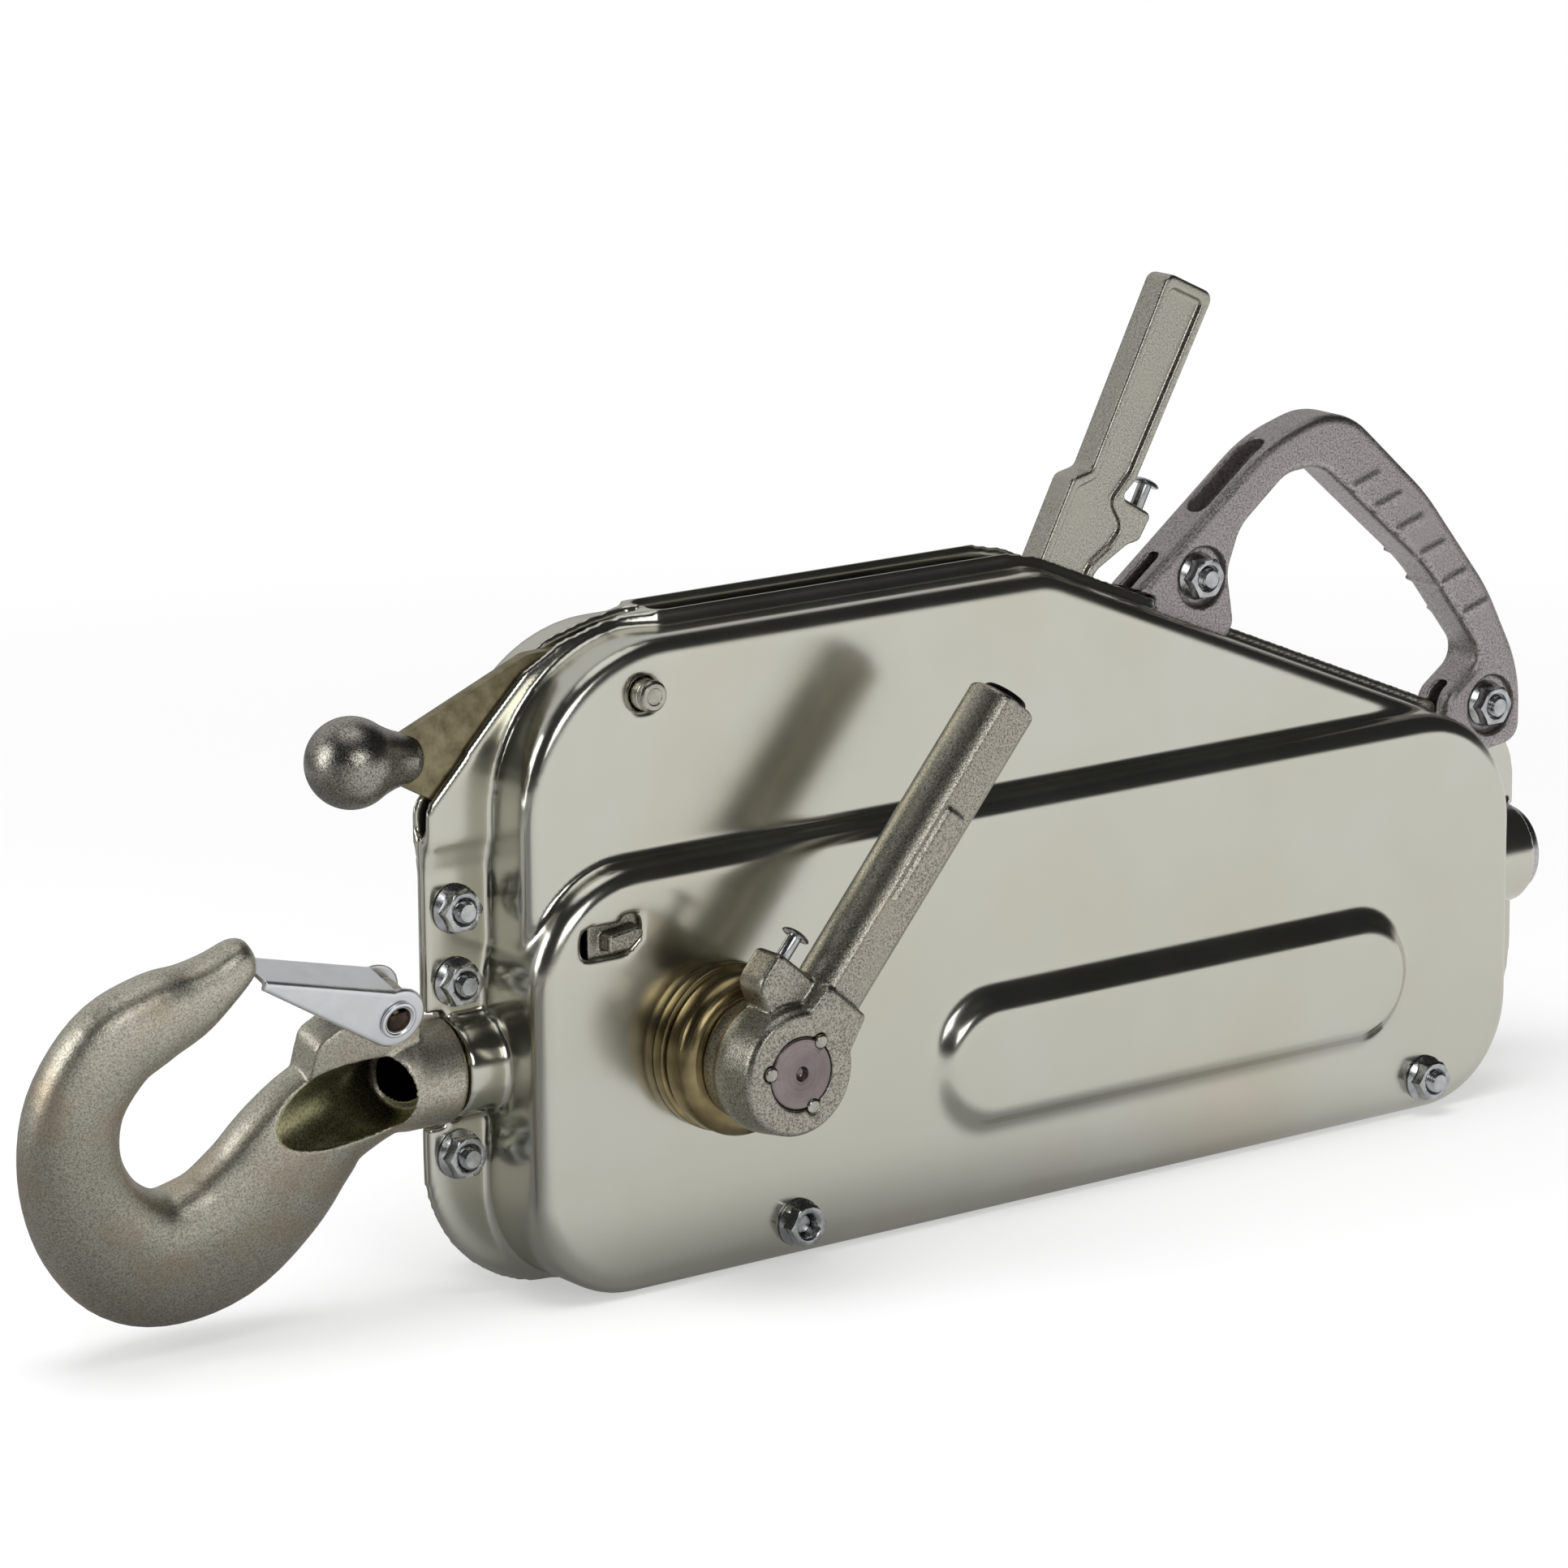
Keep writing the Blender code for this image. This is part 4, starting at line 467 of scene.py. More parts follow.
def mixed(tree, factor, a, b):
    """Mix two colours by a pattern."""
    node = add(tree, "ShaderNodeMix", {"Factor": factor}, data_type="RGBA")
    colour_in = [s for s in node.inputs if s.type == "RGBA"]
    tree.links.new(a, colour_in[0])
    tree.links.new(b, colour_in[1])
    return [s for s in node.outputs if s.type == "RGBA"][0]


def surface(tree, shader, colour, gloss, *layers):
    """Feed the colour, the roughness and a stack of bumps.

    Each layer is a height pattern with its real height in millimetres."""
    tree.links.new(colour, shader.inputs["Base Color"])
    tree.links.new(gloss, shader.inputs["Roughness"])
    normal = None
    for height, depth_mm in layers:
        links = {"Height": height}
        if normal:
            links["Normal"] = normal
        bump = add(tree, "ShaderNodeBump", links, {"Strength": 1.0, "Distance": depth_mm * MM})
        normal = bump.outputs["Normal"]
    tree.links.new(normal, shader.inputs["Normal"])


# %% [markdown]
# ### Zinc-plated sheet
# The shells are deep-drawn steel with zinc plating and a faint yellow-green passivation.  It
# is satin: reflections are soft but still read.  Cloudy tints drift over about 80 mm, and the
# rolled sheet leaves long fine lines.


# %% Zinc-plated sheet
def zinc_sheet():
    material, tree, shader, place = metal("zinc_plated_drawn_sheet")
    clouds = spots(tree, place, 85.0, 3.0, 0.55)
    colour = ramp(tree, clouds, tint("#CBCABC"), tint("#D1D0C6"), 0.3, 0.7)
    warm = spots(tree, place, 130.0, 2.0, 0.5)
    share = ramp(tree, warm, grey(0.0), grey(1.0), 0.55, 0.75)
    stain = ramp(tree, spots(tree, place, 60.0, 2.0), tint("#CBC8B4"), tint("#CFC9BA"))
    colour = mixed(tree, share, colour, stain)
    rolled = spots(tree, place, 1.1, 3.0, 0.6, (0.02, 1.0, 1.0))
    handled = spots(tree, place, 45.0, 4.0, 0.6)
    gloss = ramp(tree, handled, grey(0.17), grey(0.23), 0.3, 0.7)
    wave = spots(tree, place, 55.0, 1.0)
    peel = spots(tree, place, 1.6, 2.0)
    surface(tree, shader, colour, gloss, (wave, 0.12), (rolled, 0.006), (peel, 0.004))
    return material


# %% [markdown]
# ### Forged steel
# Hook, ball and lever are drop forged, shot blasted and then plated, so a pitted skin shines
# through a thin grey-olive coat, with brown where the plating is thin.


# %% Forged and cast skins
def grained(name, dark, light, brown, pit_mm, pit_depth, rough):
    """A blasted skin with its pits, its cloudy tint and brown where the coat is thin."""
    material, tree, shader, place = metal(name)
    pits = spots(tree, place, pit_mm, 3.0, 0.65)
    fine = spots(tree, place, pit_mm * 0.45, 2.0, 0.6)
    colour = ramp(tree, pits, tint(dark), tint(light), 0.36, 0.58)
    cloud = ramp(tree, spots(tree, place, 34.0, 3.0, 0.55), grey(0.0), grey(1.0), 0.52, 0.7)
    patch = ramp(tree, pits, tint(brown), tint(light), 0.3, 0.8)
    colour = mixed(tree, cloud, colour, patch)
    gloss = ramp(tree, fine, grey(rough - 0.07), grey(rough + 0.09), 0.3, 0.7)
    surface(tree, shader, colour, gloss, (spots(tree, place, 14.0, 2.0), pit_depth * 1.5),
            (pits, pit_depth), (fine, pit_depth * 0.45))
    return material


# %% [markdown]
# ### Turned, plated and oiled metals
# A lathe leaves a fine ring for each turn, about half a millimetre apart, and the rings break
# light into a fan.  Small parts are barrel plated: bright, with rubbed marks under a
# millimetre.  The latch is rolled sheet, whose lines run along it.


# %% Turned, plated and rolled skins
def turned_metal(name, dark, light, rough, axis_point, pitch_mm=0.55):
    """A lathe-turned face: rings about an axis along Y, which break up in light."""
    material, tree, shader, place = metal(name)
    centre = add(tree, "ShaderNodeMapping", {"Vector": place},
                 {"Location": [-v for v in axis_point]}, vector_type="POINT").outputs["Vector"]
    flat = add(tree, "ShaderNodeVectorMath", {0: centre}, {1: (1.0, 0.0, 1.0)},
               operation="MULTIPLY").outputs["Vector"]
    radius = add(tree, "ShaderNodeVectorMath", {0: flat}, operation="LENGTH").outputs["Value"]
    depth = add(tree, "ShaderNodeSeparateXYZ", {0: place}).outputs["Y"]
    along = add(tree, "ShaderNodeMath", {0: radius, 1: depth}, operation="ADD").outputs["Value"]
    lines = add(tree, "ShaderNodeTexNoise", {"W": along},
                {"Scale": scale_of(pitch_mm), "Detail": 2.0},
                noise_dimensions="1D").outputs["Fac"]
    cloud = spots(tree, place, 22.0, 3.0)
    colour = ramp(tree, cloud, tint(dark), tint(light))
    gloss = ramp(tree, lines, grey(rough - 0.08), grey(rough + 0.1))
    surface(tree, shader, colour, gloss, (lines, 0.02), (spots(tree, place, 1.0), 0.006))
    return material


def plated(name, dark, light, rough):
    """Small zinc-plated parts: bright, with faint clouds and handling marks."""
    material, tree, shader, place = metal(name)
    colour = ramp(tree, spots(tree, place, 7.0, 3.0, 0.6), tint(dark), tint(light), 0.3, 0.65)
    marks = spots(tree, place, 0.9, 4.0, 0.7)
    gloss = ramp(tree, marks, grey(rough - 0.05), grey(rough + 0.12), 0.35, 0.7)
    surface(tree, shader, colour, gloss, (marks, 0.006), (spots(tree, place, 4.0), 0.015))
    return material


def latch_sheet():
    """Bright thin sheet: smooth, with faint rolling lines along the latch."""
    material, tree, shader, place = metal("bright_zinc_sheet")
    cloud = spots(tree, place, 12.0, 2.0)
    colour = ramp(tree, cloud, tint("#EDEFF2"), tint("#F6F7F9"), 0.3, 0.7)
    lines = spots(tree, place, 0.7, 2.0, 0.5, (0.04, 1.0, 1.0))
    gloss = ramp(tree, lines, grey(0.30), grey(0.38))
    surface(tree, shader, colour, gloss, (lines, 0.002), (spots(tree, place, 18.0, 1.0), 0.05))
    return material


# %% The finishes of this winch
sheet_zinc = zinc_sheet()
hook_steel = grained("forged_hook_steel", "#9E998B", "#D8D3C4", "#B39F82", 0.9, 0.15, 0.34)
lever_steel = grained("forged_lever_steel", "#716D64", "#BDB8AC", "#A39B8A", 0.9, 0.14, 0.28)
reverse_steel = grained("cast_lever_steel", "#8A887C", "#C0BEB3", "#A5A295", 0.8, 0.09, 0.26)
ball_steel = grained("forged_ball_steel", "#6A6760", "#B4B0A6", "#8F897A", 0.9, 0.11, 0.25)
sand_cast = grained("sand_cast_aluminium", "#7C7676", "#BBB4B3", "#9A9392", 1.0, 0.20, 0.34)
groove_steel = grained("oiled_groove_steel", "#8C8A66", "#BDBA93", "#97895C", 1.4, 0.05, 0.28)
ring_brass = turned_metal("passivated_ring", "#6E6145", "#A79870", 0.24, crank_axis)
shaft_steel = turned_metal("turned_shaft_end", "#857B7A", "#A09593", 0.30, crank_axis, 0.8)
bright_zinc = plated("bright_zinc_plate", "#A0A2A4", "#CDCECF", 0.20)
latch_zinc = latch_sheet()
pin_steel = plated("blackened_pin_steel", "#2F2823", "#57493F", 0.18)
pale_steel = plated("turned_pin_steel", "#A5A398", "#C2BFB3", 0.24)
tool_steel = plated("oiled_tool_steel", "#4A4946", "#6E6C68", 0.30)
plate_steel = plated("rolled_plate_steel", "#756C53", "#9A9074", 0.36)
# Near black: painted shade for the inside of bores, not the colour of a finish.
painted_shade_black = plated("painted_bore_shade", "#0B0B0B", "#161616", 0.5)
print(len(bpy.data.materials), "materials")

# %% [markdown]
# ## The pressed shells
# Each shell is one sheet, drawn in a press: a flat flange, an upper panel, a deeper lower
# bulge and a long raised pad.  The draws are modelled as plates with rounded borders, a
# smaller set is cut out for the inside, and the remesh then blends them as the press does.

# %% Sizes of the shells
BASE = -106.0
WALL = 3.0
JOINT_GAP = 0.15
FIT = 0.3                              # the clearance round what slides in or seats on
FLANGE_RIGHT, FLANGE_TOP = 632.0, 190.0
BULGE_Y, PANEL_Y = 45.5, 33.5
SLOPE_X, SLOPE_FALL = 320.0, 0.418
SLOT_LEFT, SLOT_RIGHT, SLOT_HALF = 119.0, 395.0, 11.0
PANEL_TOP, PANEL_RIGHT = 183.0, 575.0
SOCKET_R, SOCKET_START, SOCKET_END = 22.5, 9.6, 46.0
GUIDE_R, GUIDE_START = 22.0, 570.0
JOGGLE_IN, JOGGLE_OUT = 3.6, 6.6
FLANGE_BOLTS = ((15.5, 71.0), (15.5, 38.4), (15.5, -39.1))
TIE_BOLTS = ((167.0, -89.0), (538.0, -89.0))
HANDLE_BOLTS = ((427.0, 163.4), (608.0, 77.0))
BOLT_HOLE_R, PIVOT_HOLE_R = 5.3, 7.3
RELEASE_X, RELEASE_Z = 96.0, 159.4


def slope_z(x):
    return FLANGE_TOP - SLOPE_FALL * (x - SLOPE_X)


def flange_corners():
    return [(0.0, BASE, 66.0), (FLANGE_RIGHT, BASE, 60.0),
            (FLANGE_RIGHT, slope_z(FLANGE_RIGHT), 34.0), (SLOPE_X, FLANGE_TOP, 40.0),
            (112.0, FLANGE_TOP, 14.0), (72.0, 183.0, 60.0), (34.5, 153.9, 40.0),
            (0.0, 116.2, 8.0)]


def bulge_corners():
    return [(31.0, BASE, 50.0), (594.0, BASE, 50.0), (594.0, 87.5, 58.0), (31.0, 87.5, 52.0)]


def panel_corners():
    drop = PANEL_TOP - FLANGE_TOP
    return [(34.0, 0.0, 24.0), (PANEL_RIGHT, 0.0, 24.0),
            (PANEL_RIGHT, slope_z(PANEL_RIGHT) + drop, 9.0), (SLOPE_X, PANEL_TOP, 40.0),
            (34.0, PANEL_TOP, 74.0)]


# %% The raised pad
PAD_LEFT, PAD_RIGHT, PAD_LOW, PAD_HIGH = 241.0, 527.0, -66.6, 1.9
PAD_RISE, PAD_BORDER = 7.5, 11.0


def pad_outline(inside, steps=28):
    half = (PAD_HIGH - PAD_LOW) / 2.0
    middle = (PAD_HIGH + PAD_LOW) / 2.0
    points = []
    for centre, start in ((PAD_RIGHT - half, -90.0), (PAD_LEFT + half, 90.0)):
        for i in range(steps + 1):
            a = math.radians(start + 180.0 * i / steps)
            reach = half - inside
            points.append((centre + reach * math.cos(a), middle + reach * math.sin(a)))
    return points


def pad(side, down, extra):
    """The pad's border rises in an S curve from the bulge to its flat top."""
    rings = [[(x, side * (BULGE_Y - down - 2.0), z) for x, z in pad_outline(extra)]]
    steps = 12
    for i in range(steps + 1):
        t = i / steps
        rise = t * t * (3.0 - 2.0 * t) * PAD_RISE
        y = side * (BULGE_Y - down + rise)
        rings.append([(x, y, z) for x, z in pad_outline(extra + t * PAD_BORDER)])
    return loft("pad", rings)


# %% One shell
SHEET_GRAIN = 1.6
DRAW_ROUNDS = 9


def lip_outline():
    left, right_end = SLOT_LEFT - WALL, SLOT_RIGHT + WALL
    sunk = 8.8
    turn_l, turn_r = SLOPE_X - 8.0, SLOPE_X + 8.0
    return [(left, FLANGE_TOP), (turn_l, FLANGE_TOP), (turn_r, slope_z(turn_r)),
            (right_end, slope_z(right_end)), (right_end, slope_z(right_end) - sunk),
            (turn_r, slope_z(turn_r) - sunk), (turn_l, FLANGE_TOP - sunk),
            (left, FLANGE_TOP - sunk)]


def joggle_outline():
    """Where the flange spreads to let the release lever through."""
    return [(0.0, 100.0), (0.0, 114.0), (3.0, 119.8), (34.5, 153.9), (52.0, 170.6), (72.0, 181.6),
            (95.0, 187.5), (112.0, FLANGE_TOP), (SLOT_LEFT, FLANGE_TOP), (SLOT_LEFT, 182.0),
            (106.0, 182.0), (82.0, 177.5), (60.0, 165.0), (45.0, 148.0), (36.5, 126.0),
            (35.5, 100.0)]


def square(x0, x1, z0, z1):
    return [(x0, z0), (x1, z0), (x1, z1), (x0, z1)]


def slanted(side):
    """Below the release lever the flange slants out to the spread part."""
    rings = []
    for z, outer in ((86.0, 2.6), (89.0, 3.1), (96.0, 4.6), (103.0, 6.3), (106.0, 6.6)):
        inner = JOINT_GAP if z < 104.0 else JOGGLE_IN
        across = ((0.3, inner), (35.2, inner), (35.2, outer), (0.3, outer))
        rings.append([(x, side * y, z) for x, y in across])
    return loft("slanted", rings)


def slot_shoulder(side):
    """The spread part runs out to the folded lip of the slot."""
    foot = 181.0
    around = ((100.0, 6.5), (108.0, 9.4), (118.0, 13.9), (124.0, 13.9), (124.0, 11.2),
              (112.0, 3.8), (100.0, 3.8))
    tops = [min(189.9, 187.2 + 0.2 * (x - 100.0)) for x, y in around]
    rings = []
    for share in (0.0, 1.0):
        rings.append([(x, side * y, foot + (top - foot) * share)
                      for (x, y), top in zip(around, tops)])
    return loft("shoulder", rings)


def shell(side, name):
    start = side * JOINT_GAP
    body = plate(name, rounded(bulge_corners()), start, side * BULGE_Y, 9.0)
    unite(body, plate("panel", rounded(panel_corners()), start, side * PANEL_Y, 7.0))
    unite(body, plate("flange", rounded(flange_corners()), start, side * WALL))
    unite(body, plate("lip", lip_outline(), side * SLOT_HALF, side * (SLOT_HALF + WALL)))
    for x0, x1, top in ((SLOT_LEFT - WALL, SLOT_LEFT + 0.1, FLANGE_TOP),
                        (SLOT_RIGHT - 0.1, SLOT_RIGHT + WALL, slope_z(SLOT_RIGHT))):
        unite(body, plate("end", square(x0, x1, top - 9.0, top), start, side * (SLOT_HALF + WALL)))
    for x, z in HANDLE_BOLTS:
        foot = z - slope_z(x) + 14.0
        tab = rounded([(x - 20.0, z - foot, 0.0), (x + 12.0, z - foot - 2.0, 0.0),
                       (x + 12.0, z + 12.0, 10.8), (x - 12.0, z + 12.0, 10.8)])
        unite(body, plate("tab", tab, start, side * WALL))
    ridge = [(0.0, SOCKET_START), (SOCKET_R, SOCKET_START), (SOCKET_R, 30.0),
             (SOCKET_R + 2.5, 33.0), (SOCKET_R + 2.5, 37.0), (SOCKET_R, 40.0),
             (SOCKET_R, SOCKET_END), (0.0, SOCKET_END)]
    unite(body, halved(turned("socket", ridge, "X", ROPE_LINE, 64), side, start))
    outlet = rod("outlet", "X", ROPE_LINE, GUIDE_R + FIT + WALL, GUIDE_START + 6.0,
                 FLANGE_RIGHT - 4.0)
    unite(body, halved(outlet, side, start))
    unite(body, pad(side, 0.0, 0.0))
    inner_bulge = inset(bulge_corners(), WALL)
    hollow = plate("hollow", rounded(inner_bulge), -side * 2.0, side * (BULGE_Y - WALL), 6.0)
    inner_panel = inset(panel_corners(), WALL)
    unite(hollow, plate("upper", rounded(inner_panel), -side * 2.0, side * (PANEL_Y - WALL), 4.0))
    unite(hollow, pad(side, WALL, 2.0))
    carve(body, hollow)
    carve(body, rod("way", "X", ROPE_LINE, SOCKET_R - WALL, -10.0, SOCKET_END + 10.0))
    carve(body, rod("guide", "X", ROPE_LINE, GUIDE_R + FIT, GUIDE_START - 10.0, 660.0))
    carve(body, plate("notch", square(-10.0, SOCKET_START, -25.5, 25.5), -10.0, 10.0))
    slot = [(SLOT_LEFT, 160.0), (SLOT_LEFT, 205.0), (SLOT_RIGHT, 205.0),
            (SLOT_RIGHT, slope_z(SLOT_RIGHT) - 26.0), (SLOPE_X, 160.0)]
    carve(body, plate("slot", slot, -side, side * SLOT_HALF))
    way = [(-6.0, 104.0), (60.0, 104.0), (SLOT_LEFT - 4.0, 150.0), (SLOT_LEFT - 4.0, 205.0),
           (-6.0, 205.0)]
    carve(body, plate("lever_way", way, -side, side * JOGGLE_IN))
    unite(body, plate("joggle", joggle_outline(), side * (JOGGLE_IN - 0.05), side * JOGGLE_OUT))
    unite(body, slanted(side))
    unite(body, slot_shoulder(side))
    bore = 21.8 if side < 0.0 else 18.8
    holes = [(CRANK_X, 0.0, bore), (RELEASE_X, RELEASE_Z, PIVOT_HOLE_R)]
    holes += [(x, z, BOLT_HOLE_R) for x, z in (*FLANGE_BOLTS, *TIE_BOLTS, *HANDLE_BOLTS)]
    for x, z, radius in holes:
        carve(body, rod("hole", "Y", (x, 0.0, z), radius, -60.0, 60.0, 32))
    if side < 0.0:
        window = rounded([(52.5, 50.5, 3.0), (75.5, 50.5, 3.0), (83.5, 55.5, 3.0),
                          (83.5, 66.5, 2.0), (74.5, 66.5, 1.0), (74.5, 63.5, 1.0),
                          (52.5, 63.5, 5.0)], 5)
        carve(body, plate("window", window, -55.0, -38.0))
    return body


def soften_draws(obj, rounds):
    """Smooth the drawn walls more than the flat flange, whose edge stays thin."""
    middle = drawing_origin.y
    only(obj)
    group = obj.vertex_groups.new(name="drawn")
    drawn = [v.index for v in obj.data.vertices if abs(v.co.y - middle) > (WALL + 0.4) * MM]
    group.add(drawn, 1.0, "REPLACE")
    modify(obj, "SMOOTH", factor=0.5, iterations=rounds, vertex_group="drawn")
    obj.vertex_groups.clear()


for side, end in ((-1.0, "front"), (1.0, "rear")):
    body = shell(side, end + "_pressed_shell")
    modify(body, "REMESH", mode="VOXEL", voxel_size=SHEET_GRAIN * MM)
    modify(body, "SMOOTH", factor=0.5, iterations=2)
    soften_draws(body, DRAW_ROUNDS)
    modify(body, "DECIMATE", ratio=0.35)
    smooth_all_over(body)
    stands_for(body, "casing", sheet_zinc, "zinc_plated_steel", end + "_casing")

# %% [markdown]
# ## The carrying handle
# The handle is one aluminium sand casting.  It starts as a thick plate with the handle's
# outline.  Real castings have draft and a generous rounding, so the sides are bevelled
# before the pockets go in, and the skin is then rebuilt soft.

# %% The handle's body, pockets and seats
HANDLE_HALF, HANDLE_SEAT, HANDLE_RIM = 12.0, 7.5, 3.8
POCKET_RISE, POCKET_RUN = 223.0 - 154.3, 466.0 - 380.0        # the grip's lower slope
POCKET_CLIMB = math.degrees(math.atan2(POCKET_RISE, POCKET_RUN))
POCKET_X, POCKET_Z = 426.0, 191.0
RIBS = 6
RIB_FIRST, RIB_LAST, RIB_SWAY = (516.0, 193.2), (586.2, 122.9), 4.2
RIB_CLIMB = 17.0
RIB_START, RIB_LENGTH, RIB_HALF, RIB_RISE, RIB_CORNER = 1.0, 19.0, 1.3, 0.9, 1.2


def handle_corners():
    return [(380.0, 154.3, 0.0), (468.0, 222.0, 80.0), (512.0, 235.0, 38.0), (566.0, 186.0, 130.0),
            (606.0, 135.0, 110.0), (628.0, 92.0, 70.0), (628.0, 57.0, 10.0), (574.0, 50.0, 0.0),
            (581.0, 85.0, 12.0), (603.5, 101.0, 10.0), (567.0, 148.5, 120.0), (500.0, 206.5, 22.0),
            (479.0, 205.5, 20.0), (451.0, 183.5, 22.0), (443.5, 164.0, 18.0), (447.5, 138.5, 8.0),
            (436.0, 124.0, 0.0), (380.0, 124.0, 0.0)]


def soft_plate(name, outline, y0, y1, rim, steps=5):
    """A plate whose two borders are both rounded."""
    obj = plate(name, outline, y0, y1)
    modify(obj, "BEVEL", width=rim * MM, segments=steps, limit_method="ANGLE",
           angle_limit=math.radians(60.0), use_clamp_overlap=False)
    return obj


def seat_on_casing(side):
    """The casing's outside with a fitting gap, to cut what sits on it."""
    seat = rounded(inset(bulge_corners(), -FIT))
    upper = rounded(inset(panel_corners(), -FIT))
    return unite(plate("seat", seat, -side, side * (BULGE_Y + FIT), 9.0),
                 plate("upper", upper, -side, side * (PANEL_Y + FIT), 7.0))


def rib(i):
    """A low rib across both faces of the grip, which also stands out of its inner edge."""
    t = i / (RIBS - 1.0)
    x = RIB_FIRST[0] + (RIB_LAST[0] - RIB_FIRST[0]) * t
    z = RIB_FIRST[1] + (RIB_LAST[1] - RIB_FIRST[1]) * t + RIB_SWAY * math.sin(math.pi * t)
    foot = Vector((x, 0.0, z))
    reach = HANDLE_HALF + RIB_RISE
    bar = [(x, z, RIB_CORNER) for x, z in square(RIB_START, RIB_LENGTH, -RIB_HALF, RIB_HALF)]
    lay = Matrix.Rotation(math.radians(-RIB_CLIMB), 4, "Y")
    lay.translation = foot
    return moved(plate("rib", rounded(bar, 4), -reach, reach), lay)


def handle():
    body = soft_plate("sand_cast_handle", rounded(handle_corners(), 10), -HANDLE_HALF,
                      HANDLE_HALF, HANDLE_RIM, 6)
    pocket = rounded([(x, z, 6.0) for x, z in square(4.0, 54.0, -6.4, 6.4)], 8)
    climb = Matrix.Rotation(math.radians(-POCKET_CLIMB), 4, "Y")
    lay = climb @ Matrix.Rotation(math.radians(90.0), 4, "X")
    lay.translation = Vector((POCKET_X, 0.0, POCKET_Z))
    carve(body, moved(plate("pocket", pocket, -12.0, 12.0), lay))
    for i in range(RIBS):
        unite(body, rib(i))
    for x, z in HANDLE_BOLTS:
        bore = [(0.0, -20.0), (14.5, -20.0), (14.5, -HANDLE_SEAT), (BOLT_HOLE_R, -HANDLE_SEAT),
                (BOLT_HOLE_R, HANDLE_SEAT), (14.5, HANDLE_SEAT), (14.5, 20.0), (0.0, 20.0)]
        carve(body, turned("counterbore", bore, "Y", (x, 0.0, z), 64))
    (x1, z1), (x2, z2) = HANDLE_BOLTS
    tab_room = WALL + 0.6
    slot = rounded([(360.0, 100.0, 0.0), (460.0, 100.0, 0.0), (460.0, 141.0, 0.0),
                    (x1 + 13.5, z1 - 8.0, 2.0), (x1 + 13.5, z1 + 13.5, 8.0),
                    (360.0, z1 + 9.5, 0.0)])
    carve(body, plate("slot", slot, -tab_room, tab_room))
    slot = rounded([(570.0, 40.0, 0.0), (640.0, 40.0, 0.0), (640.0, z2 - 8.0, 0.0),
                    (x2 + 13.5, z2, 2.0), (x2 + 13.5, z2 + 13.5, 8.0),
                    (x2 - 13.5, z2 + 13.5, 8.0), (570.0, slope_z(570.0) + 1.0, 0.0)])
    carve(body, plate("slot", slot, -tab_room, tab_room))
    for side in (-1.0, 1.0):
        carve(body, seat_on_casing(side))
    over = SLOT_RIGHT + WALL + 0.6
    lips = [(360.0, slope_z(360.0) + 0.6), (over, slope_z(over) + 0.6), (over, 100.0),
            (360.0, 100.0)]
    carve(body, plate("lips", lips, -60.0, 60.0))
    return cast_skin(body, 1.0, 4)


stands_for(handle(), "casing", sand_cast, "cast_aluminium", "carry_handle")

# %% [markdown]
# ## The anchor hook
# A drop-forged hook is drawn as a line with a width and a thickness at each point, and a
# smooth curve runs through them.  Sections square to that line, joined up, give the taper and
# the heavy back.  Collar and boss are joined on, and the rope's bore and its groove cut out.

# %% The hook's line and sections
LATCH_X, LATCH_Z, LATCH_LENGTH, LATCH_LEAN = -27.2, 38.4, 76.4, 14.8
LATCH_OUT, LATCH_SHEET, LATCH_TOP, LATCH_PIN_R = 12.0, 2.0, 12.5, 5.0
HOOK_REST = 17.0
ROPE_BORE = 11.0
COLLAR_R, COLLAR_FACE, NECK_R, NECK_END, RING_X = 24.0, 8.6, 15.6, 60.0, 50.0
HOOK_LINE = ((-16.0, -1.0, 21.0, 18.0), (-34.0, -5.0, 26.0, 17.5), (-50.0, -12.0, 30.0, 17.0),
             (-63.0, -26.0, 33.0, 17.5), (-76.0, -45.0, 35.0, 18.0), (-95.0, -62.0, 35.5, 18.5),
             (-120.0, -67.0, 33.5, 18.5), (-142.0, -60.0, 29.5, 18.0), (-162.0, -40.0, 25.5, 17.0),
             (-175.0, -12.0, 22.5, 16.0), (-176.5, 18.0, 22.0, 15.5), (-164.0, 43.0, 22.5, 15.0),
             (-146.0, 54.0, 21.0, 14.5), (-129.0, 60.0, 18.0, 12.5), (-115.0, 68.5, 13.0, 11.0),
             (-104.5, 77.0, 9.5, 8.8), (-100.5, 79.5, 5.0, 4.6))


def smooth_line(points, between):
    """A Catmull-Rom curve through points of any number of values."""
    points = [np.array(p) for p in points]
    padded = [points[0]] + points + [points[-1]]
    line = []
    for a, b, c, d in zip(padded, padded[1:], padded[2:], padded[3:]):
        for k in range(between):
            t = k / between
            line.append(0.5 * (2 * b + (c - a) * t + (2 * a - 5 * b + 4 * c - d) * t ** 2
                               + (3 * b - a - 3 * c + d) * t ** 3))
    return line + [points[-1]]


def hook_rings(sides=40):
    line = smooth_line(HOOK_LINE, 5)
    rings = []
    for i, (x, z, wide, thick) in enumerate(line):
        before, after = line[max(i - 1, 0)], line[min(i + 1, len(line) - 1)]
        heading = Vector((after[0] - before[0], after[1] - before[1])).normalized()
        ring = []
        for k in range(sides):
            a = 2.0 * math.pi * k / sides
            u = wide * math.copysign(abs(math.cos(a)) ** 0.85, math.cos(a))
            v = thick * math.copysign(abs(math.sin(a)) ** 0.85, math.sin(a))
            ring.append((x - heading.y * u, v, z + heading.x * u))
        rings.append(ring)
    return rings


# %% The groove that lets the rope out
GROOVE_FROM, GROOVE_TO = Vector((-13.0, -2.0, 1.0)), Vector((-122.0, -55.0, 3.0))
GROOVE_RADII = (14.8, 18.0, 22.0, 26.0, 29.0)


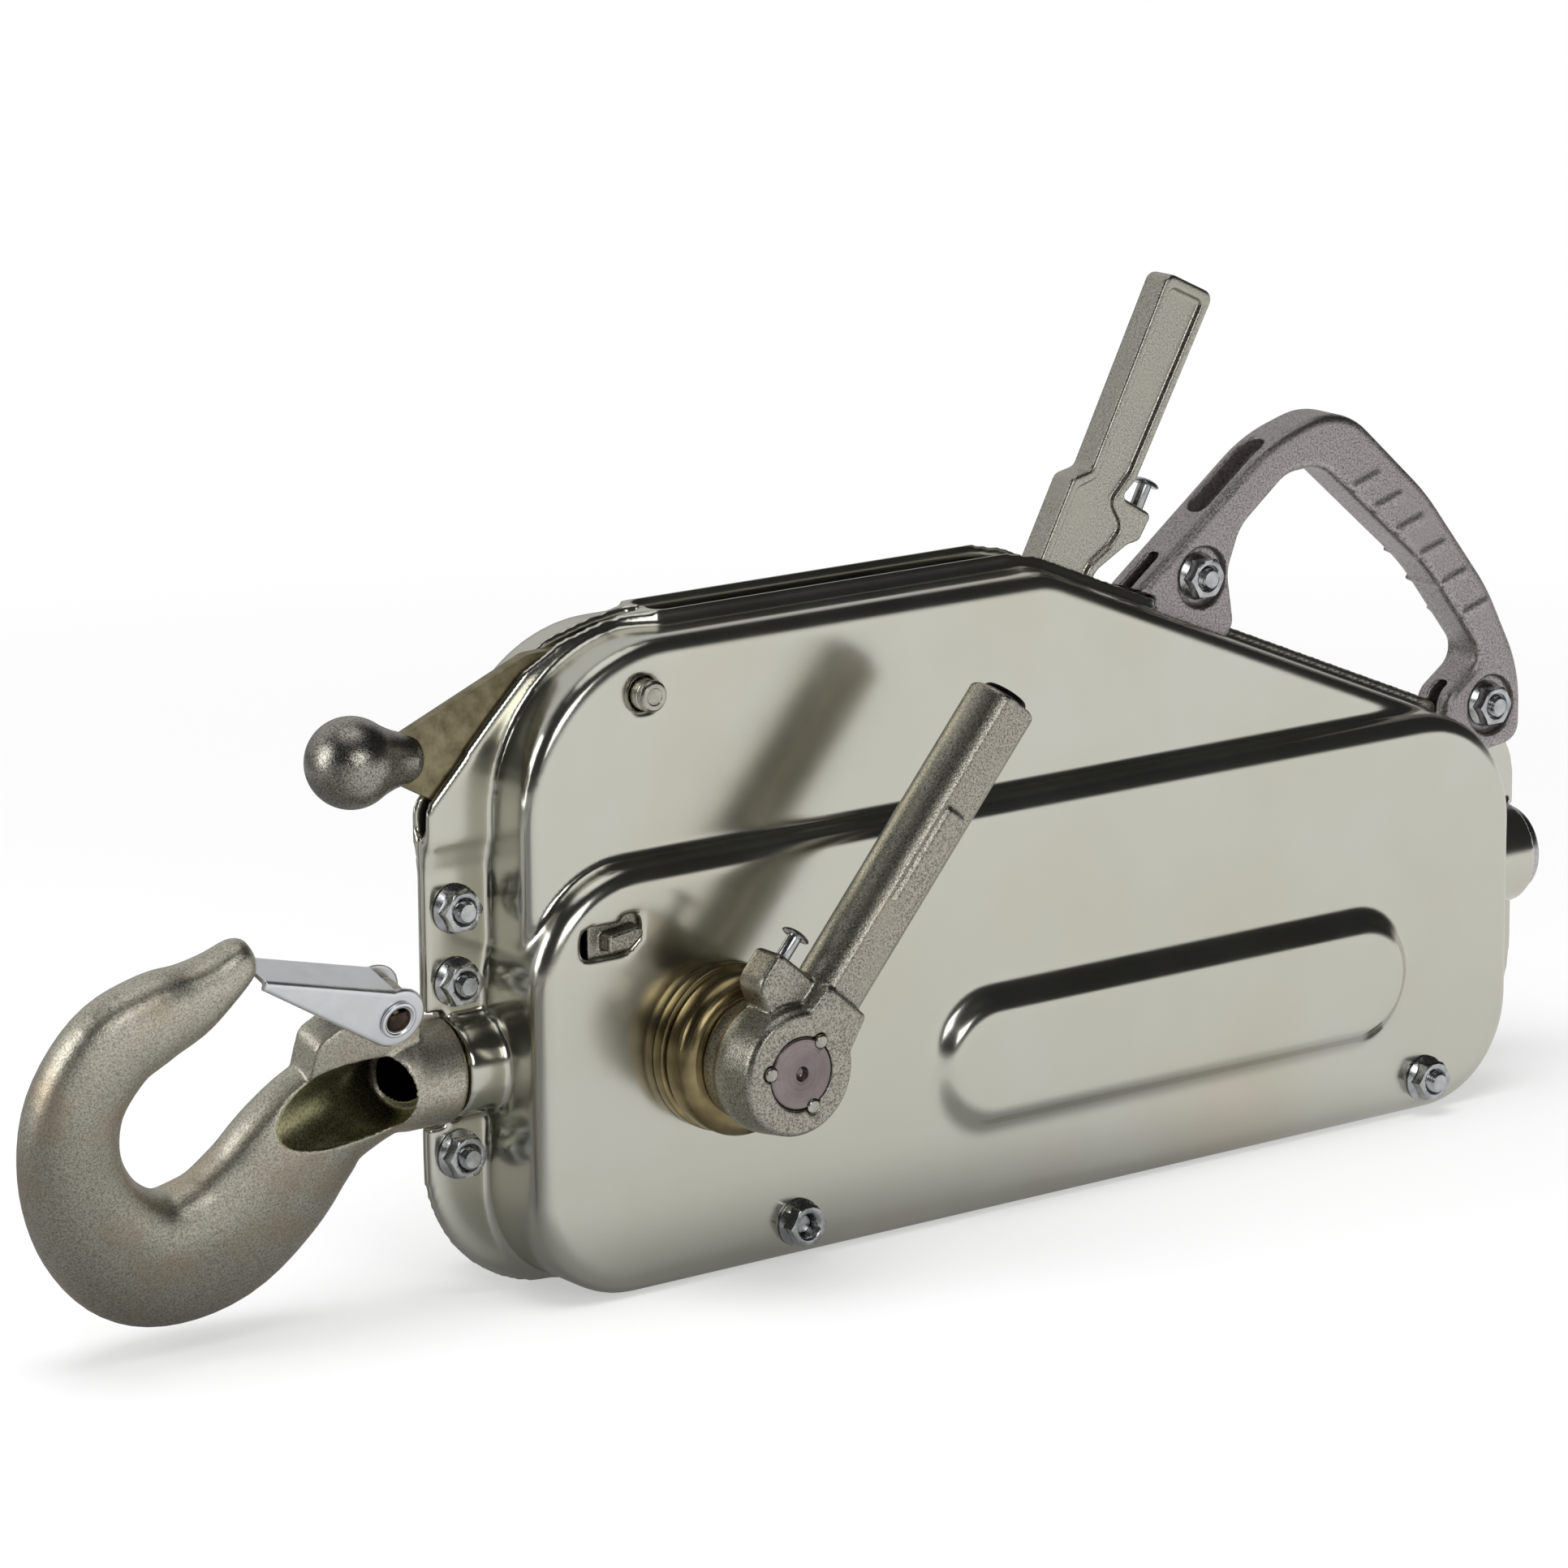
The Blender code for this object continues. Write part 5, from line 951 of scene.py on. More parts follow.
def groove_radius(t):
    step = min(max(t, 0.0), 0.9999) * (len(GROOVE_RADII) - 1)
    low = int(step)
    return GROOVE_RADII[low] + (GROOVE_RADII[low + 1] - GROOVE_RADII[low]) * (step - low)


def groove(sides=40, count=12):
    heading = (GROOVE_TO - GROOVE_FROM).normalized()
    across = heading.cross(Vector((0.0, 0.0, 1.0))).normalized()
    up = across.cross(heading)
    rings = []
    for i in range(count + 1):
        centre = GROOVE_FROM.lerp(GROOVE_TO, i / count)
        radius = groove_radius(i / count)
        turns = [2.0 * math.pi * k / sides for k in range(sides)]
        rings.append([tuple(centre + (across * math.cos(a) + up * math.sin(a)) * radius)
                      for a in turns])
    return loft("groove", rings)


# %% The whole hook
hook_turn = Matrix.Rotation(math.radians(HOOK_REST), 4, "X")


def hook():
    body = loft("forged_anchor_hook", hook_rings())
    collar = [(0.0, -34.0), (14.0, -34.0), (17.5, -31.0), (20.5, -27.0), (COLLAR_R - 0.9, -20.0),
              (COLLAR_R, -14.0), (COLLAR_R, COLLAR_FACE - 1.6), (COLLAR_R - 1.6, COLLAR_FACE),
              (NECK_R, COLLAR_FACE), (NECK_R, RING_X - 1.2), (NECK_R - 1.6, RING_X - 1.2),
              (NECK_R - 1.6, RING_X + 3.2), (NECK_R, RING_X + 3.2), (NECK_R, NECK_END - 1.0),
              (NECK_R - 1.0, NECK_END), (0.0, NECK_END)]
    boss = rounded([(-66.0, 2.0, 3.0), (-8.0, 4.0, 3.0), (-12.0, 36.0, 8.0), (-20.0, 48.0, 8.0),
                    (-38.0, 46.0, 8.0), (-64.0, 30.0, 8.0)])
    unite(body, turned("collar", collar, "X", ROPE_LINE, 96))
    unite(body, soft_plate("boss", boss, -9.0, 9.0, 1.6))
    carve(body, rod("bore", "X", ROPE_LINE, ROPE_BORE, -20.0, NECK_END + 10.0))
    carve(body, groove())
    carve(body, rod("pin_hole", "Y", (LATCH_X, 0.0, LATCH_Z), LATCH_PIN_R + FIT, -20.0, 20.0,
                    48))
    cast_skin(body, 0.9, 4)
    stands_for(body, "hook", hook_steel, "forged_steel", "anchor_hook")
    body.data.materials.append(groove_steel)
    body.data.materials.append(painted_shade_black)
    # Faces inside the rope's bore are painted near black as shade; the groove gets its olive oiled steel.
    groove_slot, bore_shade_slot = 1, 2
    heading = GROOVE_TO - GROOVE_FROM
    for face in body.data.polygons:
        spot = (face.center - drawing_origin) / MM
        t = (spot - GROOVE_FROM).dot(heading) / heading.length_squared
        off = (spot - GROOVE_FROM.lerp(GROOVE_TO, min(max(t, 0.0), 1.0))).length
        in_bore = spot.x > -17.0 and math.hypot(spot.y, spot.z) < ROPE_BORE + 0.3
        if in_bore:
            face.material_index = bore_shade_slot
        elif t > 0.02 and off < groove_radius(t) + 0.25:
            face.material_index = groove_slot
    return moved(body, hook_turn)


hook()

# %% [markdown]
# ## The safety latch
# The latch is one piece of sheet, folded into a channel: two cheeks with a round end about
# the pin, and a web that closes the hook's mouth.  The fold has a radius on the outside, and
# it shows as a thin bright line.

# %% The latch, its pin and the pin's ring
latch_turn = Matrix.Rotation(math.radians(LATCH_LEAN), 4, "Y")
latch_place = hook_turn @ Matrix.Translation((LATCH_X, 0.0, LATCH_Z)) @ latch_turn
cheek = [(14.2 * math.cos(math.radians(a)), 14.2 * math.sin(math.radians(a)))
         for a in np.linspace(118.0, -105.0, 49)]
cheek += rounded([(-LATCH_LENGTH, LATCH_TOP - 5.0, 1.0), (-LATCH_LENGTH, LATCH_TOP, 1.0),
                  (0.0, 20.0, 0.0)], 5)[:-1]
latch = soft_plate("folded_latch", cheek, -LATCH_OUT, LATCH_OUT, 1.7, 6)
inner = LATCH_OUT - LATCH_SHEET
web = LATCH_TOP - LATCH_SHEET
channel = [(30.0, -30.0), (-LATCH_LENGTH - 20.0, -30.0), (-LATCH_LENGTH - 20.0, LATCH_TOP - 5.0),
           (-LATCH_LENGTH + 2.0, web), (-6.0, web), (-6.0, 30.0), (30.0, 30.0)]
carve(latch, plate("inside", channel, -inner, inner))
carve(latch, rod("hole", "Y", (0.0, 0.0, 0.0), LATCH_PIN_R + FIT, -20.0, 20.0, 48))
cast_skin(latch, 0.55, 3)
moved(latch, latch_place)
stands_for(latch, "latch", latch_zinc, "bright_zinc", "hook_latch")

head = LATCH_PIN_R + 3.6
out = LATCH_OUT
rivet_r = 6.1                          # inside it the blackened pin, outside it the zinc ring
pin_section = [(0.0, -out - 3.1), (2.6, -out - 2.9), (4.6, -out - 2.3), (5.7, -out - 1.4),
               (6.0, -out - 1.0), (6.5, -out - 1.1), (7.1, -out - 1.7), (head - 0.8, -out - 1.7),
               (head - 0.2, -out - 1.5), (head, -out - 1.2), (head, -out - FIT),
               (LATCH_PIN_R, -out - FIT), (LATCH_PIN_R, out + FIT), (head, out + FIT),
               (head, out + 1.2), (head - 0.3, out + 2.0), (head - 1.2, out + 2.6),
               (head - 3.2, out + 2.7), (0.0, out + 2.2)]
latch_pin = turned("latch_pin_riveted", pin_section, "Y", (LATCH_X, 0.0, LATCH_Z))
crisp_skin(latch_pin, 0.12)
stands_for(latch_pin, "hook", pin_steel, "machined_steel", "latch_pin")
latch_pin.data.materials.append(latch_zinc)
pin_axis = Vector((LATCH_X, 0.0, LATCH_Z))
for face in latch_pin.data.polygons:
    spot = (face.center - drawing_origin) / MM - pin_axis
    if math.hypot(spot.x, spot.z) > rivet_r:
        face.material_index = 1
moved(latch_pin, hook_turn)

# %% [markdown]
# ## The operating lever
# The lever is a hub turned to a cone, a forged neck, and an arm that is a stout tube with one
# flat face.  The raised pad on the flat is left bare.  It is drawn upright about the shaft and
# then leant to its rest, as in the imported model.

# %% The lever, drawn upright
SHAFT_R, HUB_BACK, HUB_FACE, HUB_R, HUB_FACE_R = 16.0, 69.6, 104.0, 30.5, 27.3
ARM_Y, ARM_R, ARM_FLAT, ARM_END, ARM_BORE_R, ARM_BORE_DEPTH = 89.2, 15.6, 102.6, 189.5, 10.5, 90.0
PAD_HALF, PAD_FOOT, PAD_TOP, PAD_STANDS = 5.6, 84.0, 133.0, 1.4
CRANK_REST = 40.0
SHEAR_CIRCLE, SHEAR_DEPTH, PIN_HOLE_R = 16.5, 22.3, 3.5
SPARE_DX, SPARE_Y = -29.0, -87.0
crank_turn = leaning(CRANK_X, 0.0, CRANK_REST)


def shear_places():
    turns = [math.radians(CRANK_REST - 1.2 + 120.0 * i) for i in range(3)]
    return [(CRANK_X + SHEAR_CIRCLE * math.sin(a), SHEAR_CIRCLE * math.cos(a)) for a in turns]


def shear_hole(x, z):
    return rod("hole", "Y", (x, 0.0, z), PIN_HOLE_R, -HUB_FACE - 5.0, -HUB_FACE + SHEAR_DEPTH, 32)


def operating_lever():
    x = CRANK_X
    centre = (x, 0.0, 0.0)
    section = [(0.0, -HUB_BACK), (HUB_R - 3.0, -HUB_BACK), (HUB_R - 2.2, -HUB_BACK - 1.0),
               (HUB_R - 2.2, -78.0), (HUB_R, -82.0), (HUB_R, -87.0), (HUB_FACE_R + 1.0, -101.5),
               (HUB_FACE_R - 1.0, -HUB_FACE), (0.0, -HUB_FACE)]
    body = turned("forged_operating_lever", section, "Y", centre, 128)
    neck = rounded([(x - 17.0, 4.0, 0.0), (x + 20.0, 4.0, 0.0), (x + 14.5, 38.0, 2.0),
                    (x - 12.0, 38.0, 2.0)])
    unite(body, soft_plate("neck", neck, -HUB_FACE, -74.0, 1.6))
    section = [(0.0, 22.0), (ARM_R, 22.0), (ARM_R, ARM_END - 1.2), (ARM_R - 0.9, ARM_END - 0.3),
               (ARM_R - 1.4, ARM_END), (0.0, ARM_END)]
    arm = turned("arm", section, "Z", (x, -ARM_Y, 0.0), 96)
    carve(arm, plate("flat", square(x - 30.0, x + 30.0, 0.0, 210.0), -ARM_FLAT - 20.0, -ARM_FLAT))
    unite(body, arm)
    ear = rounded([(x - 38.0, 20.0, 8.0), (x - 16.0, 8.0, 2.0), (x - 8.0, 37.7, 2.0),
                   (x - 38.0, 37.7, 3.0)])
    unite(body, soft_plate("ear", ear, -96.0, -78.0, 2.2))
    pad = [(px, pz, 1.5) for px, pz in square(x - PAD_HALF, x + PAD_HALF, PAD_FOOT, PAD_TOP)]
    unite(body, plate("bare_pad", rounded(pad), -ARM_FLAT + 1.0, -ARM_FLAT - PAD_STANDS))
    carve(body, rod("socket", "Z", (x, -ARM_Y, 0.0), ARM_BORE_R, ARM_END - ARM_BORE_DEPTH,
                    ARM_END + 10.0))
    carve(body, rod("way", "Y", centre, SHAFT_R + FIT, -HUB_FACE - 10.0, -HUB_BACK + 10.0))
    carve(body, rod("pin_way", "Z", (x + SPARE_DX, SPARE_Y, 0.0), PIN_HOLE_R, 24.0, 45.0, 32))
    moved(body, crank_turn)
    for px, pz in shear_places():
        carve(body, shear_hole(px, pz))
    return cast_skin(body, 0.85, 3)


stands_for(operating_lever(), "crank", lever_steel, "forged_steel", "forward_lever")

# %% A near-black sleeve in the lever's socket: painted shade for the inside of its bore
SLEEVE_OUT, SLEEVE_IN, SLEEVE_BORE, SLEEVE_R = 3.0, 60.0, 8.6, 10.2
end = ARM_END + SLEEVE_OUT
section = [(SLEEVE_BORE, ARM_END - SLEEVE_IN), (SLEEVE_R, ARM_END - SLEEVE_IN),
           (SLEEVE_R, end - 0.8), (9.4, end), (8.9, end), (SLEEVE_BORE, end - 0.4)]
sleeve = turned("bore_shade_sleeve", section, "Z", (CRANK_X, -ARM_Y, 0.0), 64)
moved(smooth_under(sleeve, 35.0), crank_turn)
stands_for(sleeve, "crank", painted_shade_black, "tool_steel")


# %% The shaft's end, the shear pins and the spare pin
def shaft():
    """The shaft with its front web, a centre drilling, and holes for its pins."""
    crank_throw, crank_pin_hole_r = 22.0, 5.3
    section = [(0.0, -25.0), (30.0, -25.0), (31.0, -26.0), (31.0, -30.0), (30.0, -31.0),
               (SHAFT_R, -31.0), (SHAFT_R, -HUB_FACE + 0.8), (SHAFT_R - 0.8, -HUB_FACE),
               (3.4, -HUB_FACE), (2.4, -HUB_FACE + 3.0), (0.0, -HUB_FACE + 4.0)]
    body = turned("turned_drive_shaft", section, "Y", (CRANK_X, 0.0, 0.0), 128)
    lean = math.radians(CRANK_REST)
    dx, dz = crank_throw * math.sin(lean), crank_throw * math.cos(lean)
    for x, z in ((CRANK_X + dx, dz), (CRANK_X - dx, -dz)):
        carve(body, rod("hole", "Y", (x, 0.0, z), crank_pin_hole_r, -31.5, -20.0, 32))
    for x, z in shear_places():
        carve(body, shear_hole(x, z))
    return crisp_skin(body, 0.25)


stands_for(shaft(), "crank", shaft_steel, "machined_steel", "drive_shaft")

for i, (x, z) in enumerate(shear_places(), 1):
    section = [(0.0, -HUB_FACE - 0.9), (2.4, -HUB_FACE - 0.9), (3.2, -HUB_FACE - 0.2),
               (3.2, -HUB_FACE + 22.0), (0.0, -HUB_FACE + 22.0)]
    pin = crisp_skin(turned("shear_pin_%d" % i, section, "Y", (x, 0.0, z), 48), 0.15)
    stands_for(pin, "crank", pale_steel, "bright_zinc", "lever_shear_pin_%d" % i)


def spare_pin(name, x, y, low, high, turn):
    """A spare shear pin, stored upright with its domed head at the top."""
    section = [(0.0, low), (2.6, low), (3.2, low + 0.8), (3.2, high - 2.6), (6.0, high - 2.8),
               (6.6, high - 2.2), (6.2, high - 1.5), (4.6, high - 0.6), (2.4, high - 0.1),
               (0.0, high)]
    pin = turned(name, section, "Z", (x, y, 0.0), 48)
    return moved(smooth_under(pin, 40.0), turn)


pin = spare_pin("lever_spare_pin", CRANK_X + SPARE_DX, SPARE_Y, 25.0, 51.5, crank_turn)
stands_for(pin, "crank", bright_zinc, "bright_zinc", "forward_spare_pin")

# %% [markdown]
# ## The reversing lever
# A flat forging with a raised border: the pocket on each side is a shallow pan with sloping
# walls.  Its fork stays as packed, because only the lever's own stem shows.

# %% The reversing lever and its spare pin
REVERSE_X, REVERSE_REST, LEVER_HALF, LEVER_SPARE_DX = 254.0, 28.0, 7.5, 32.8
reverse_turn = leaning(REVERSE_X, 0.0, REVERSE_REST)


def reversing_corners():
    x = REVERSE_X
    return [(x - 14.3, 77.0, 0.0), (x + 14.3, 77.0, 0.0), (x + 18.8, 125.0, 20.0),
            (x + 18.8, 206.0, 12.0), (x + 30.5, 223.6, 6.0), (x + 36.2, 227.8, 4.0),
            (x + 37.5, 241.4, 3.0), (x + 17.2, 242.2, 2.0), (x + 21.2, 252.0, 6.0),
            (x + 23.5, 345.2, 5.0), (x - 6.8, 344.0, 5.0), (x - 5.8, 247.0, 5.0),
            (x - 14.3, 240.0, 5.0)]


def pocket_corners():
    x = REVERSE_X
    return [(x - 9.8, 140.0, 2.0), (x + 14.3, 140.0, 2.0), (x + 14.3, 207.0, 12.0),
            (x + 21.0, 219.0, 8.0), (x + 24.0, 230.0, 6.0), (x + 12.0, 238.0, 5.0),
            (x + 16.6, 254.0, 6.0), (x + 18.8, 340.0, 3.0), (x - 2.2, 339.0, 3.0),
            (x - 1.4, 245.0, 4.0), (x - 9.8, 237.0, 4.0)]


def reversing_lever():
    body = soft_plate("forged_reversing_lever", rounded(reversing_corners()), -LEVER_HALF,
                      LEVER_HALF, 1.5)
    outline = rounded(pocket_corners(), 8)
    for side in (-1.0, 1.0):
        rings = []
        for inside, y in ((-0.6, 9.0), (0.0, 7.4), (0.9, 5.2)):
            rings.append([(px, side * y, pz) for px, pz in shifted(outline, inside)])
        carve(body, loft("pocket", rings))
    carve(body, rod("pin_way", "Z", (REVERSE_X + LEVER_SPARE_DX, 0.0, 0.0), PIN_HOLE_R, 230.0,
                    250.0, 32))
    moved(body, reverse_turn)
    return cast_skin(body, 0.7, 2)


stands_for(reversing_lever(), "reverser", reverse_steel, "forged_steel", "reversing_lever")
pin = spare_pin("reversing_spare_pin_turned", REVERSE_X + LEVER_SPARE_DX, 0.0, 231.0, 256.0,
                reverse_turn)
stands_for(pin, "reverser", bright_zinc, "bright_zinc", "reversing_spare_pin")

# %% [markdown]
# ## The bearing rings, the rope guide and the pivot pin
# These are lathe work: half a section, spun.  Small chamfers at each step catch the light, as
# on every turned part.

# %% Lathe work
RING_SIDES = 128
front_ring = [(SHAFT_R + 0.4, -34.0), (21.4, -34.0), (21.4, -45.8), (37.5, -45.8), (37.5, -51.5),
              (34.5, -52.2), (34.5, -54.4), (36.7, -55.0), (36.7, -63.5), (35.6, -65.6),
              (33.0, -68.0),
              (31.0, -69.0), (SHAFT_R + 0.4, -69.0)]
ring = turned("front_bearing_ring", front_ring, "Y", (CRANK_X, 0.0, 0.0), RING_SIDES)
crisp_skin(ring, 0.35, 3)
stands_for(ring, "casing", ring_brass, "passivated_brass", "front_bearing")

rear_ring = [(0.0, 53.0), (26.0, 53.0), (28.8, 52.0), (30.0, 50.0), (30.0, 45.8), (18.4, 45.8),
             (18.4, 34.0), (13.4, 34.0), (13.4, 48.0), (0.0, 48.0)]
ring = turned("rear_bearing_cap", rear_ring, "Y", (CRANK_X, 0.0, 0.0), RING_SIDES)
crisp_skin(ring, 0.3, 3)
stands_for(ring, "casing", ring_brass, "passivated_brass", "rear_bearing")

guide = [(15.0, GUIDE_START), (GUIDE_R, GUIDE_START), (GUIDE_R, 631.0), (21.0, 633.0),
         (19.0, 634.0), (16.5, 634.0), (13.0, 631.8), (10.6, 627.0), (10.0, 622.0),
         (10.0, 580.0), (12.0, 574.0)]
ring = crisp_skin(turned("turned_rope_guide", guide, "X", ROPE_LINE, RING_SIDES), 0.3, 3)
stands_for(ring, "casing", bright_zinc, "bright_zinc", "rope_guide")

reach = PANEL_Y + 7.5
groove_pin = [(0.0, -reach + 0.4), (3.6, -reach + 0.4), (3.9, -reach), (5.8, -reach),
              (7.0, -reach + 1.2), (7.0, -reach + 3.0), (6.3, -reach + 3.3),
              (6.3, -reach + 4.3), (7.0, -reach + 4.6), (7.0, reach - 1.2), (5.8, reach),
              (0.0, reach)]
pin = turned("release_pin_turned", groove_pin, "Y", (RELEASE_X, 0.0, RELEASE_Z), 64)
crisp_skin(pin, 0.15)
stands_for(pin, "casing", pale_steel, "bright_zinc", "release_pivot_pin")

# %% [markdown]
# ## The release lever and its ball
# A sheared steel plate swings between the shells.  Its forged ball is slit to take the
# plate's end.

# %% The release plate
RELEASE_HALF = 3.0
RELEASE_ARM = 45.0


def release_outline():
    x, z = RELEASE_X, RELEASE_Z
    return rounded([(-7.5, 151.0, 1.0), (56.0, 177.0, 10.0), (x, z + 19.0, 16.0),
                    (x + 17.0, z, 16.0),
                    (x + 8.5, z - RELEASE_ARM - 9.0, 8.0), (x - 8.5, z - RELEASE_ARM - 9.0, 8.0),
                    (x - 12.0, z - 22.0, 12.0), (44.0, 128.0, 20.0), (10.0, 118.0, 8.0),
                    (-9.0, 128.5, 1.0)], 12)


release = plate("release_plate", release_outline(), -RELEASE_HALF, RELEASE_HALF)
carve(release, rod("hole", "Y", (RELEASE_X, 0.0, RELEASE_Z), PIVOT_HOLE_R, -10.0, 10.0, 48))
foot = (RELEASE_X, 0.0, RELEASE_Z - RELEASE_ARM)
unite(release, rod("cross_pin", "Y", foot, 4.0, -30.2, 2.0, 32))
crisp_skin(release, 0.45, 3)
stands_for(release, "release", plate_steel, "machined_steel", "release_lever")

# %% The forged ball
BALL_R, BALL_X, BALL_Z = 20.0, -33.3, 142.0
BALL_STEPS, BALL_TURN = 28, 121.0      # the round ends where the neck begins
section = [(0.0, BALL_X - BALL_R)]
for i in range(1, BALL_STEPS + 1):
    a = math.radians(180.0 - BALL_TURN * i / BALL_STEPS)
    section.append((BALL_R * math.sin(a), BALL_X + BALL_R * math.cos(a)))
neck = ((12.5, 15.9), (16.5, 14.1), (20.0, 12.8), (24.0, 11.7), (28.0, 10.8), (31.0, 9.3),
        (33.0, 6.8), (34.0, 3.4), (34.2, 0.0))
section += [(radius, BALL_X + along) for along, radius in neck]
ball = turned("forged_release_ball", section, "X", (0.0, 0.0, BALL_Z), 96)
moved(ball, leaning(BALL_X, BALL_Z, math.degrees(math.atan2(2.0, 26.0))))
slit = RELEASE_HALF + FIT
carve(ball, plate("tang", shifted(release_outline(), -FIT), -slit, slit))
cast_skin(ball, 0.6, 4)
stands_for(ball, "release", ball_steel, "forged_steel", "release_knob")

# %% [markdown]
# ## Nuts, bolts and the thumb catch
# A nut is a hexagon whose corners are turned off at thirty degrees, on a round flange.  A
# thread is a helix: at each turn of the ring the radius follows a triangle wave that climbs
# one pitch per turn.


# %% Hexagons and threads
CHAMFER_FALL = 0.577                   # the tangent of thirty degrees
NUT_HEIGHT = 8.4


def hexagon(x, z, across, y0, y1):
    """A hexagon bar along Y with both rims turned to thirty-degree cones."""
    low, high = sorted((y0, y1))
    corner = across / math.sqrt(3.0)
    turns = [math.radians(60.0 * i) for i in range(6)]
    outline = [(x + corner * math.cos(a), z + corner * math.sin(a)) for a in turns]
    bar = plate("hexagon", outline, low, high)
    mouth = across / 2.0 + 0.25
    fall = (corner + 1.0 - mouth) * CHAMFER_FALL
    cone = [(0.0, low), (mouth, low), (corner + 1.0, low + fall), (corner + 1.0, high - fall),
            (mouth, high), (0.0, high)]
    return combine(bar, "INTERSECT", [turned("cone", cone, "Y", (x, 0.0, z), 64)])


def threaded(x, z, y0, y1, radius=4.95, pitch=1.5, depth=0.8, sides=40, steps=6):
    """A threaded rod along Y, with a lead-in cone at its free end y1."""
    sign = 1.0 if y1 > y0 else -1.0
    length = abs(y1 - y0)
    count = int(length / pitch * steps)
    rings = []
    for i in range(count + 1):
        depth_in = length * i / count
        ring = []
        for k in range(sides):
            phase = (depth_in / pitch + k / sides) % 1.0
            wave = abs(2.0 * phase - 1.0)
            r = min(radius - depth * (1.0 - wave), radius - 1.1 + (length - depth_in))
            a = 2.0 * math.pi * k / sides
            ring.append((x + r * math.cos(a), y0 + sign * depth_in, z + r * math.sin(a)))
        rings.append(ring)
    return loft("thread", rings)


def zinc_bolt(x, z, y_head, y_end):
    side = 1.0 if y_head > y_end else -1.0
    piece = hexagon(x, z, 16.8, y_head + side * FIT, y_head + side * 6.6)
    unite(piece, rod("shank", "Y", (x, 0.0, z), 4.9, y_head + side * 2.0, y_end + side * 16.0, 40))
    return unite(piece, threaded(x, z, y_end + side * 16.5, y_end))


def zinc_nut(x, z, seat):
    face = seat - FIT
    piece = hexagon(x, z, 17.0, face - 1.0, face - NUT_HEIGHT)
    flange = [(0.0, face), (10.6, face), (11.0, face - 0.4), (11.0, face - 1.0),
              (8.4, face - 2.8), (0.0, face - 2.8)]
    unite(piece, turned("flange", flange, "Y", (x, 0.0, z), 64))
    mouth = [(0.0, face + 5.0), (5.2, face + 5.0), (5.2, face - 7.0), (6.9, face - 8.8),
             (0.0, face - 8.8)]
    return carve(piece, turned("bore", mouth, "Y", (x, 0.0, z), 40))


def gathered(name, pieces):
    """Join several solids into one object."""
    first = only(pieces[0])
    for piece in pieces[1:]:
        piece.select_set(True)
    bpy.ops.object.join()
    first.name = name
    return first


# %% The seven bolts and their nuts
FLANGE_MORE, TIE_MORE, HANDLE_MORE = 3.2, (-5.0, 3.4), 2.6     # thread beyond the nut
seats = [(x, z, WALL, FLANGE_MORE) for x, z in FLANGE_BOLTS]
seats += [(x, z, BULGE_Y, more) for (x, z), more in zip(TIE_BOLTS, TIE_MORE)]
seats += [(x, z, HANDLE_SEAT, HANDLE_MORE) for x, z in HANDLE_BOLTS]
rows = ["flange_%s_1", "flange_%s_2", "flange_%s_3", "tie_%s_1", "tie_%s_2", "handle_%s_1",
        "handle_%s_2"]
bolts = gathered("threaded_bolts",
                 [zinc_bolt(x, z, y, -y - NUT_HEIGHT - more) for x, z, y, more in seats])
nuts = gathered("flange_nuts", [zinc_nut(x, z, -y) for x, z, y, more in seats])
for group, kind in ((bolts, "bolt"), (nuts, "nut")):
    crisp_skin(group, 0.12, 1, 40.0)
    stands_for(group, "casing", bright_zinc, "bright_zinc", *(row % kind for row in rows))

# %% The thumb catch in its window
back = BULGE_Y - WALL - FIT
slide = rounded([(x, z, 3.0) for x, z in square(58.0, 100.0, 44.5, 68.5)], 6)
catch = plate("thumb_catch_slide", slide, -back + 3.0, -back)
lug = rounded([(64.0, 52.5, 2.0), (75.0, 52.5, 2.0), (82.3, 57.5, 2.0), (82.3, 62.5, 3.0),
               (64.0, 60.0, 2.0)], 8)
unite(catch, plate("lug", lug, -back + 1.0, -BULGE_Y - 4.5, 1.1))
cast_skin(catch, 0.5, 3)
stands_for(catch, "thumb_catch", lever_steel, "forged_steel", "release_catch")

# %% [markdown]
# ## The pieces inside
# Jaws, carriages, guides, webs and spacers show only through the slots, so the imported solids
# stay as they are.  They get their own steel, and their round faces are shaded smooth.

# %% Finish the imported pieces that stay
finishes = {"zinc_plated_steel": sheet_zinc, "forged_steel": lever_steel,
            "bright_zinc": bright_zinc,
            "machined_steel": plate_steel, "tool_steel": tool_steel, "passivated_brass": ring_brass,
            "cast_aluminium": sand_cast}
slot_of = {part["node"]: part["material_slot"] for part in frame["record"]["subparts"]}
kept = 0
for name, node in frame["nodes"].items():
    slot = slot_of[name]
    node.data.materials.clear()
    node.data.materials.append(finishes[slot])
    if node.hide_render:
        continue
    kept += 1
    smooth_under(node, 32.0)
print(kept, "packed pieces stay in view")

# %% [markdown]
# ## Stage and light
# The photograph has a white ground and soft boxes in a dim room, and polished metal shows
# both.  The camera sees a white world and a pale floor, which keeps the winch's shadow and
# turns white further out.  What the metal mirrors is another matter.  The floor's mirror
# image has bright and dark bands, as a lit table in a dim room has, and it is dimmer close to
# the winch.  The room above is dark but for a narrow bright cap, and grey behind the winch.


# %% A ramp with many stops
def bands(tree, factor, *levels):
    """A ramp through greys, each written as its place and its level."""
    node = add(tree, "ShaderNodeValToRGB", {"Fac": factor})
    stops = node.color_ramp.elements
    for stop, (place, level) in zip(stops, (levels[0], levels[-1])):
        stop.position, stop.color = place, grey(level)
    for place, level in levels[1:-1]:
        stops.new(place).color = grey(level)
    return node.outputs["Color"]


